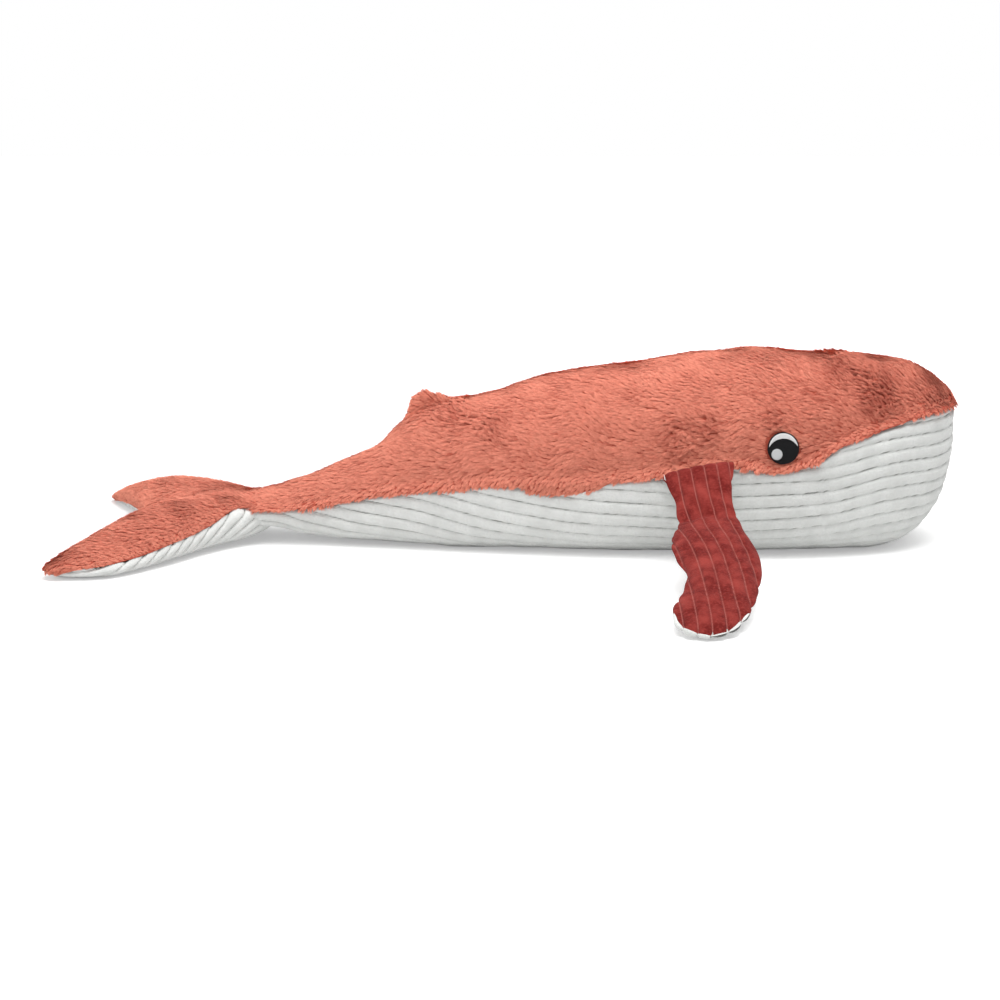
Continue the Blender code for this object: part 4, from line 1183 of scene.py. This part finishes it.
def fluke_seam_height(points):
    """Height of the seam beside points of the flukes and of the tail's end."""
    across = np.clip(points[:, 1] / FLUKE_HALF_SPAN, -1, 1)
    out = np.abs(across)
    lead, trail = fluke_edges(out)
    back = np.clip((lead - points[:, 0]) / np.maximum(lead - trail, LEAST_LENGTH), 0, 1)
    to_fluke = smooth_step((FLUKE_SINK_X + FLUKE_SINK_REACH - points[:, 0]) / (2 * FLUKE_SINK_REACH))
    body_seam = seam_height(points)
    at_root = np.exp(-(((out - FLUKE_ROOT_RISE_SHARE) / FLUKE_ROOT_REACH_SHARE) ** 2)) * (1 - back) ** 2
    at_tip = smooth_step((out - FLUKE_TIP_RISE_SHARE) / (1 - FLUKE_TIP_RISE_SHARE))
    rise = FLUKE_SEAM_RISE * (1 - back) + FLUKE_ROOT_RISE * at_root + FLUKE_TIP_RISE * at_tip
    fur_edge = fluke_middle(across, back) + rise - FLUKE_FUR_DROP * back**2
    return body_seam + (fur_edge - body_seam) * to_fluke


def half_of_form(bm, name, upper):
    """The fur side or the corduroy side of the fluke form, behind the place where it joins the body."""
    part = bm.copy()
    centres = np.array([face.calc_center_median() for face in part.faces])
    above = centres[:, 2] > fluke_seam_height(centres)
    wrong = (above != upper) | (centres[:, 0] > FLUKE_JOIN_START_X)
    unwanted = [face for face, is_wrong in zip(part.faces, wrong) if is_wrong]
    bmesh.ops.delete(part, geom=unwanted, context="FACES")
    rim = [vert for vert in part.verts if vert.is_boundary and vert.co.x < FLUKE_JOIN_START_X - FLUKE_VOXEL]
    heights = fluke_seam_height(np.array([vert.co for vert in rim]))
    for vert, height in zip(rim, heights.tolist()):
        vert.co.z = height
    if not upper:
        bmesh.ops.subdivide_edges(part, edges=part.edges, cuts=1, use_grid_fill=True, smooth=1.0)
    return mesh_of(part, name)


def rib_fluke(mesh, cord):
    """Raises ribs on the flukes' underside, and tucks its edge in at the seam."""
    places = vectors_of(mesh.vertices, "co").astype(float)
    facing = vectors_of(mesh.vertices, "normal").astype(float)
    across = np.abs(places[:, 1]) + FLUKE_RIB_SLANT * places[:, 2] + FLUKE_RIB_START
    height = rib_height(across, cord.pitch)
    near_seam = 1 - smooth_step((fluke_seam_height(places) - places[:, 2]) / SEAM_TUCK)
    raised = (height - RIB_MIDDLE_SHARE) * cord.depth - near_seam * FLUKE_TUCK
    places = places + facing * raised[:, None]
    places[:, 2] = np.maximum(places[:, 2], 0.0)
    mesh.vertices.foreach_set("co", places.astype(np.float32).ravel())
    layer = mesh.attributes.new("rib", "FLOAT", "POINT")
    layer.data.foreach_set("value", height.astype(np.float32))
    mesh.update()


def fin_tables():
    """How far out and down the fin's middle line is at steps of its length, with its slope."""
    along = np.linspace(-FIN_INSET_SHARE, 1, FIN_TABLE_STEPS)
    bend = smooth_step((along - FIN_CREASE_SHARE) / (2 * FIN_CREASE_REACH_SHARE) + 1 / 2)
    drop = np.radians(FIN_ROOT_DROP_DEG + (FIN_TIP_DROP_DEG - FIN_ROOT_DROP_DEG) * bend)
    drop = drop * smooth_step((along + FIN_INSET_SHARE) / FIN_INSET_SHARE)
    step = FIN_LENGTH * (along[1] - along[0])
    out = np.concatenate(([0], np.cumsum((np.cos(drop[1:]) + np.cos(drop[:-1])) / 2 * step)))
    down = np.concatenate(([0], np.cumsum((np.sin(drop[1:]) + np.sin(drop[:-1])) / 2 * step)))
    sag = FIN_SAG * (1 - smooth_step((along - FIN_SAG_START_SHARE) / FIN_SAG_REACH_SHARE))
    return along, out - np.interp(0, along, out), down - np.interp(0, along, down) + sag, drop


def fin_points(along, forward, lift, root):
    """Points of the right fin, from its hinge line, its middle and its spine."""
    steps, outs, downs, drops = fin_tables()
    out, down, drop = (np.interp(along, steps, values) for values in (outs, downs, drops))
    tilt = math.tan(math.radians(FIN_ROOT_TILT_DEG)) * (1 - smooth_step(along / FIN_TILT_REACH_SHARE))
    return np.stack((
        root[0] + FIN_FORWARD + forward,
        root[1] - out - lift * np.sin(drop),
        root[2] - down + lift * np.cos(drop) + forward * tilt,
    ), -1)


def fin_cloth(name, cord, root, last, pad_share, rim, tuck, knob):
    """A ribbed sheet round the right fin, from its front edge over the top to this angle round its section.

    rim is how far its edge stands out at the tip, tuck how far it lies in elsewhere, and knob by how much
    each rib bulges there.
    """
    rows = np.sin(math.pi / 2 * np.linspace(0, 1, FIN_ROWS))[:, None]
    share = (1 + FIN_INSET_SHARE) * rows - FIN_INSET_SHARE
    around = np.linspace(0, last, FIN_COLUMNS)[None, :]
    from_root = smooth_step((share + FIN_INSET_SHARE) / FIN_INSET_SHARE)
    lead = FIN_WIDTH * share_at(FIN_LEAD_SHARES, share)
    trail = FIN_WIDTH * share_at(FIN_TRAIL_SHARES, share)
    forward = (lead + trail) / 2 + (lead - trail) / 2 * np.cos(around)
    side = np.sin(around)
    half = FIN_THICKNESS / 2 * share_at(FIN_THICKNESS_SHARES, share) * from_root
    lift = half * signed_power(side, FIN_EDGE_POWER) * np.where(side > 0, pad_share, 1.0)
    points = fin_points(share + 0 * around, forward, lift, root)
    inside = fin_points(share + 0 * around, (lead + trail) / 2 + 0 * around, 0 * lift, root)
    normals = grid_normals(points, inside)
    across = forward - lead * FIN_RIB_START_SHARE - FIN_RIB_LEAN * FIN_LENGTH * share
    height = rib_height(across + roughness_of(points, FIN_WAVE, FIN_WAVE_SHIFT) * FIN_RIB_DRIFT, cord.pitch)
    dents = roughness_of(points, FIN_DENT, FIN_DENT_SHIFT) * FIN_DENT_DEPTH
    at_edge = np.abs(np.cos(around))
    wander = roughness_of(points, FIN_CREASE_WAVE, FIN_CREASE_WAVE_SHIFT)
    from_crease = (share - FIN_CREASE_SHARE) * FIN_LENGTH + FIN_CREASE_WANDER * wander
    calm = 1 - FIN_EDGE_CALM_SHARE * at_edge**FIN_EDGE_CALM_POWER
    crease_depth = FIN_CREASE_DEPTH * (1 + FIN_CREASE_VARIES_SHARE * wander) * calm
    crease = np.exp(-((from_crease / FIN_CREASE_WIDTH) ** 2)) * crease_depth
    tip = smooth_step((share - FIN_TIP_START_SHARE) / FIN_TIP_REACH_SHARE)
    bulge = (rim * tip + knob * (height - FIN_KNOB_MIDDLE_SHARE)) * from_root - tuck * (1 - tip)
    edge = at_edge**FIN_RIM_POWER * bulge
    fade = smooth_step((1 - share) * FIN_ROWS / 2) * from_root
    rib_depth = cord.depth * FIN_RIB_DEPTH_SHARE * calm
    raised = ((height - FIN_RIB_MIDDLE_SHARE) * rib_depth + dents - crease) * fade + edge
    points = points + normals * raised[..., None]
    points[..., 2] = np.maximum(points[..., 2], 0.0)
    on_rim = FIN_RIM_RIB * at_edge**FIN_RIM_RIB_POWER
    return merged(mesh_of_grid(name, points, normals, {"rib": np.maximum(height, on_rim)}))


def mirrored(mesh, name):
    """The mesh on the other side of the whale's middle plane."""
    bm = bmesh.new()
    bm.from_mesh(mesh)
    bmesh.ops.scale(bm, verts=bm.verts, vec=(1.0, -1.0, 1.0))
    bmesh.ops.reverse_faces(bm, faces=bm.faces)
    return mesh_of(bm, name)


def add_side_piece(side, name, right_mesh, material):
    """A piece of one side of the whale, made from the right side's mesh."""
    mesh = right_mesh if side == "right" else mirrored(right_mesh, name)
    return add_piece(name, mesh, material)


def finishes():
    """All materials, made once."""
    fur, cord, _ = sizes()
    if "coral pile" not in bpy.data.materials:
        pile_finish(fur)
        backing_finish(fur)
        cord_finish(
            "white corduroy", tuple(cord.white), tuple(cord.white_groove_shade), WORN_WHITE, WHITE_GROOVE_SHADE_SHARE,
            WHITE_SHEEN)
        cord_finish(
            "brick corduroy", tuple(cord.brick), tuple(cord.brick_groove), PAINTED_BRICK_SHEEN, BRICK_GROOVE_SHARE,
            BRICK_SHEEN)
        for name, (colour, turn) in THREADS.items():
            thread_finish(name, colour, turn)
    return bpy.data.materials


class WHALE_OT_back(Operator):
    """Make the fur back, from the nose to the tail"""

    bl_idname = "whale.make_back"
    bl_label = "Back"

    def execute(self, context):
        materials = finishes()
        skin = back_skin()
        backing = add_piece("back_backing", skin, materials["pile backing"])
        nodes = ["trunk_back_right", "trunk_back_left", "tail_back_right", "tail_back_left", "trunk_filling"]
        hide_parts(*nodes, "tail_filling")
        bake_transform(backing)
        rng = np.random.default_rng(BACK_SEED)
        for piece in pile_on("back_pile", skin, materials["coral pile"], back_flow, seam_height, rng):
            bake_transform(piece)
        return {"FINISHED"}


class WHALE_OT_belly(Operator):
    """Make the ribbed belly, from the chin to the tail"""

    bl_idname = "whale.make_belly"
    bl_label = "Belly"

    def execute(self, context):
        materials = finishes()
        mesh = belly_mesh(context.scene.whale_cord)
        belly = add_piece("belly_panel", mesh, materials["white corduroy"])
        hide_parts("trunk_belly", "tail_belly")
        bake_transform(belly)
        return {"FINISHED"}


class WHALE_OT_flukes(Operator):
    """Make the flukes, fur above and corduroy below"""

    bl_idname = "whale.make_flukes"
    bl_label = "Flukes"

    def execute(self, context):
        materials = finishes()
        form = fluke_form()
        top = half_of_form(form, "fluke_backing", True)
        backing = add_piece("fluke_backing", top, materials["pile backing"])
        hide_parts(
            "fluke_top_right", "fluke_top_left", "fluke_filling_right", "fluke_filling_left")
        under_mesh = half_of_form(form, "fluke_underside", False)
        form.free()
        rib_fluke(under_mesh, context.scene.whale_cord)
        under = add_piece("fluke_underside", under_mesh, materials["white corduroy"])
        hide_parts("fluke_under_right", "fluke_under_left")
        rng = np.random.default_rng(FLUKES_SEED)
        pile = pile_on(
            "fluke_pile", top, materials["coral pile"], fluke_flow, fluke_seam_height, rng,
            last_x=FLUKE_PILE_X)
        for piece in (backing, under, *pile):
            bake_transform(piece)
        return {"FINISHED"}


class WHALE_OT_fins(Operator):
    """Make the two padded side fins"""

    bl_idname = "whale.make_fins"
    bl_label = "Side Fins"

    def execute(self, context):
        materials = finishes()
        cord = context.scene.whale_cord
        joint = next(j for j in frame["joints"] if j["name"] == "right_fin_flap")
        root = joint["pos_m"]
        top = fin_cloth("right_fin_top_cloth", cord, root, math.pi, 1.0, 0.0, 0.0, FIN_KNOB)
        under = fin_cloth(
            "right_fin_under_cloth", cord, root, 2 * math.pi, FIN_PAD_SHARE, FIN_RIM, FIN_RIM_TUCK,
            FIN_SCALLOP)
        drop = math.radians(FIN_ROOT_DROP_DEG)
        for side in ("right", "left"):
            body = f"{side}_fin"
            top_piece = add_side_piece(
                side, f"{body}_top_cloth", top, materials["brick corduroy"])
            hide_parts(f"{body}_top", f"{body}_batting")
            under_piece = add_side_piece(
                side, f"{body}_under_cloth", under, materials["white corduroy"])
            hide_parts(f"{body}_under")
            mirror = 1 if side == "right" else -1
            start = (root[0], mirror * (root[1] + FIN_BEND_INSIDE), root[2])
            outwards, down = FIN_BEND_REACH * math.cos(drop), FIN_BEND_REACH * math.sin(drop)
            end = (root[0], mirror * (root[1] - outwards), root[2] - down)
            for piece in (top_piece, under_piece):
                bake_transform(piece)
        return {"FINISHED"}


def dorsal_points(from_rear, around):
    """Points of the dorsal fin, on the ridge of the back."""
    share = (1 - np.cos(math.pi * from_rear)) / 2
    along = DORSAL_REAR_SHARE + (DORSAL_FRONT_SHARE - DORSAL_REAR_SHARE) * share
    end = (1 - np.abs(2 * share - 1) ** DORSAL_END_POWER) ** (1 / DORSAL_END_POWER)
    rise = DORSAL_HEIGHT * share_at(DORSAL_SHARES, share)
    up = np.where(np.cos(around) > 0, rise, DORSAL_ROOT) * np.cos(around) * end
    across = DORSAL_THICKNESS / 2 * end * np.sin(around)
    ridge = body_section(along)[1]
    return np.stack((FLUKE_SEAM_X + along * BODY_LENGTH, across, ridge + up - PILE_DEPTH), -1)


class WHALE_OT_dorsal_fin(Operator):
    """Make the small fur fin on the back"""

    bl_idname = "whale.make_dorsal_fin"
    bl_label = "Dorsal Fin"

    def execute(self, context):
        materials = finishes()
        skin = ball_mesh("dorsal_fin_backing", DORSAL_ROWS, DORSAL_SEGMENTS, dorsal_points)
        backing = add_piece("dorsal_fin_backing", skin, materials["pile backing"])
        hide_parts("dorsal_fin_right", "dorsal_fin_left", "dorsal_fin_filling")
        rng = np.random.default_rng(DORSAL_FIN_SEED)
        pile = pile_on(
            "dorsal_fin_pile", skin, materials["coral pile"], back_flow, seam_height, rng, DORSAL_PILE_SHARE)
        for piece in (backing, *pile):
            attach(piece, "dorsal_fin")
        return {"FINISHED"}


def on_flank(across, up, lift):
    """Points on the right flank round the middle of the eye, raised off it."""
    x = EYE_X + across
    z = EYE_HEIGHT + up
    half_width, top, bottom, widest = body_section((x - FLUKE_SEAM_X) / BODY_LENGTH)
    reach, power = half_section(z > widest, top, bottom, widest)
    side = (1 - np.minimum(np.abs(z - widest) / reach, 1) ** power) ** (1 / power)
    surface = np.stack((x, -half_width * side, z), -1)
    return surface + surface_normals(surface) * lift[:, None]


def stitched_disc(name, across, up, diameter, low, high, wobble):
    """A flat disc of satin stitch on the right flank."""
    def place(from_pole, around):
        radius = diameter / 2 * np.sin(math.pi * from_pole) * (1 + wobble * np.sin(EYE_STITCHES * around))
        lift = low + (high - low) * (1 + signed_power(np.cos(math.pi * from_pole), EYE_FACE_POWER)) / 2
        return on_flank(across + radius * np.cos(around), up + radius * np.sin(around), lift)

    return ball_mesh(name, DISC_ROWS, DISC_SEGMENTS, place)


def stitched_crescent(name):
    """The white of the eye, a crescent inside the upper rim of the black disc."""
    start, end = math.radians(CRESCENT_START_DEG), math.radians(CRESCENT_END_DEG)

    def place(from_horn, around):
        share = (1 - np.cos(math.pi * from_horn)) / 2
        turn = start + (end - start) * share
        width = CRESCENT_WIDTH * np.sin(math.pi * share) ** CRESCENT_HORN_POWER
        radius = EYE_DIAMETER / 2 - CRESCENT_RIM - width / 2 * (1 - np.cos(around))
        lift = THREAD_PUFF / 2 * (1 + signed_power(np.sin(around), EYE_FACE_POWER))
        return on_flank(radius * np.cos(turn), radius * np.sin(turn), lift)

    return ball_mesh(name, CRESCENT_ROWS, CRESCENT_SEGMENTS, place)


class WHALE_OT_eyes(Operator):
    """Make the embroidered eyes: a black disc, a white crescent and a pale glint"""

    bl_idname = "whale.make_eyes"
    bl_label = "Eyes"

    def execute(self, context):
        materials = finishes()
        black = stitched_disc(
            "right_eye_black_patch", 0.0, 0.0, EYE_DIAMETER, -EYE_SINK, EYE_PUFF, EYE_WOBBLE_SHARE)
        glint = stitched_disc(
            "right_eye_glint_patch", -GLINT_BACK, -GLINT_DOWN, GLINT_DIAMETER, 0.0, THREAD_PUFF,
            GLINT_WOBBLE_SHARE)
        parts = {
            "black": (black, "black"),
            "white": (stitched_crescent("right_eye_white_patch"), "white"),
            "glint": (glint, "pale"),
        }
        for side in ("right", "left"):
            for part, (mesh, shade) in parts.items():
                piece = add_side_piece(
                    side, f"{side}_eye_{part}_patch", mesh, materials[f"{shade} stitching"])
                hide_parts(f"{side}_eye_{part}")
                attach(piece, "trunk")
        return {"FINISHED"}


def add_lamp(name, power, size, place, target):
    """A soft area lamp that looks at a point."""
    light = bpy.data.lights.new(name, "AREA")
    light.energy = power
    light.shape = "RECTANGLE"
    light.size, light.size_y = size
    lamp = add_object(name, light)
    lamp.location = place
    lamp.rotation_euler = (Vector(target) - Vector(place)).to_track_quat("-Z", "Y").to_euler()


class WHALE_OT_stage(Operator):
    """Make the floor, the lamps and the camera"""

    bl_idname = "whale.make_stage"
    bl_label = "Stage"

    def execute(self, context):
        stage = context.scene.whale_stage
        bm = bmesh.new()
        bmesh.ops.create_grid(bm, x_segments=1, y_segments=1, size=FLOOR_HALF_SIZE)
        floor = add_object("floor", mesh_of(bm, "floor"))
        finish = Finish(
            "white floor", {"Roughness": 1.0, "Specular IOR Level": 0.0, "Emission Strength": 1.0})
        seen = finish.add("ShaderNodeLightPath", output="Is Camera Ray")
        away = finish.add("ShaderNodeVectorMath", {"operation": "LENGTH"}, {0: finish.places()}, "Value")
        far = ((away - stage.white_from) / stage.white_from).clamped()
        glow = finish.mix(far, (stage.floor_glow,) * 3, (1.0, 1.0, 1.0))
        finish.colour(FLOOR_COLOUR)
        finish.connect(finish.shader.inputs["Emission Color"], finish.mix(seen, (0.0, 0.0, 0.0), glow))
        floor.data.materials.append(finish.material)

        world = bpy.data.worlds.new("even light")
        context.scene.world = world
        world.use_nodes = True
        nodes, links = world.node_tree.nodes, world.node_tree.links
        background = nodes["Background"]
        background.inputs["Color"].default_value = (1.0, 1.0, 1.0, 1.0)
        path = nodes.new("ShaderNodeLightPath")
        level = nodes.new("ShaderNodeMapRange")
        level.inputs["To Min"].default_value = stage.world_level
        level.inputs["To Max"].default_value = 1.0
        links.new(path.outputs["Is Camera Ray"], level.inputs["Value"])
        links.new(level.outputs["Result"], background.inputs["Strength"])

        add_lamp("key", stage.key_power, KEY_SIZE, KEY_PLACE, KEY_TARGET)
        add_lamp("fill", stage.key_power / KEY_TO_FILL, FILL_SIZE, FILL_PLACE, FILL_TARGET)

        camera_data = bpy.data.cameras.new("camera")
        camera_data.lens = stage.lens
        camera_data.sensor_width = SENSOR_WIDTH_MM
        camera = add_object("camera", camera_data)
        camera.location = CAMERA_PLACE
        camera.rotation_euler = (math.radians(CAMERA_TILT_DEG), 0.0, 0.0)
        context.scene.camera = camera
        context.scene.view_settings.view_transform = "Standard"
        return {"FINISHED"}


class WHALE_PT_panel(Panel):
    """Shows the whale's settings and the buttons that make its pieces."""

    bl_label = "Plush Whale"
    bl_idname = "WHALE_PT_panel"
    bl_space_type = "VIEW_3D"
    bl_region_type = "UI"
    bl_category = "Plush Whale"

    def draw(self, context):
        layout = self.layout
        for group in (context.scene.whale_fur, context.scene.whale_cord, context.scene.whale_stage):
            box = layout.box()
            for key in group.__annotations__:
                box.prop(group, key)
        for operator in OPERATORS:
            layout.operator(operator.bl_idname)


OPERATORS = (
    WHALE_OT_back, WHALE_OT_belly, WHALE_OT_flukes, WHALE_OT_fins, WHALE_OT_dorsal_fin, WHALE_OT_eyes,
    WHALE_OT_stage,
)
GROUPS = {"whale_fur": FurSettings, "whale_cord": CordSettings, "whale_stage": StageSettings}


def register():
    for group in GROUPS.values():
        bpy.utils.register_class(group)
    for name, group in GROUPS.items():
        setattr(bpy.types.Scene, name, PointerProperty(type=group))
    for operator in OPERATORS:
        bpy.utils.register_class(operator)
    bpy.utils.register_class(WHALE_PT_panel)


def unregister():
    bpy.utils.unregister_class(WHALE_PT_panel)
    for operator in reversed(OPERATORS):
        bpy.utils.unregister_class(operator)
    for name, group in GROUPS.items():
        delattr(bpy.types.Scene, name)
        bpy.utils.unregister_class(group)


def main():
    register()
    for operator in OPERATORS:
        group, name = operator.bl_idname.split(".")
        getattr(getattr(bpy.ops, group), name)()


if __name__ == "__main__":
    main()
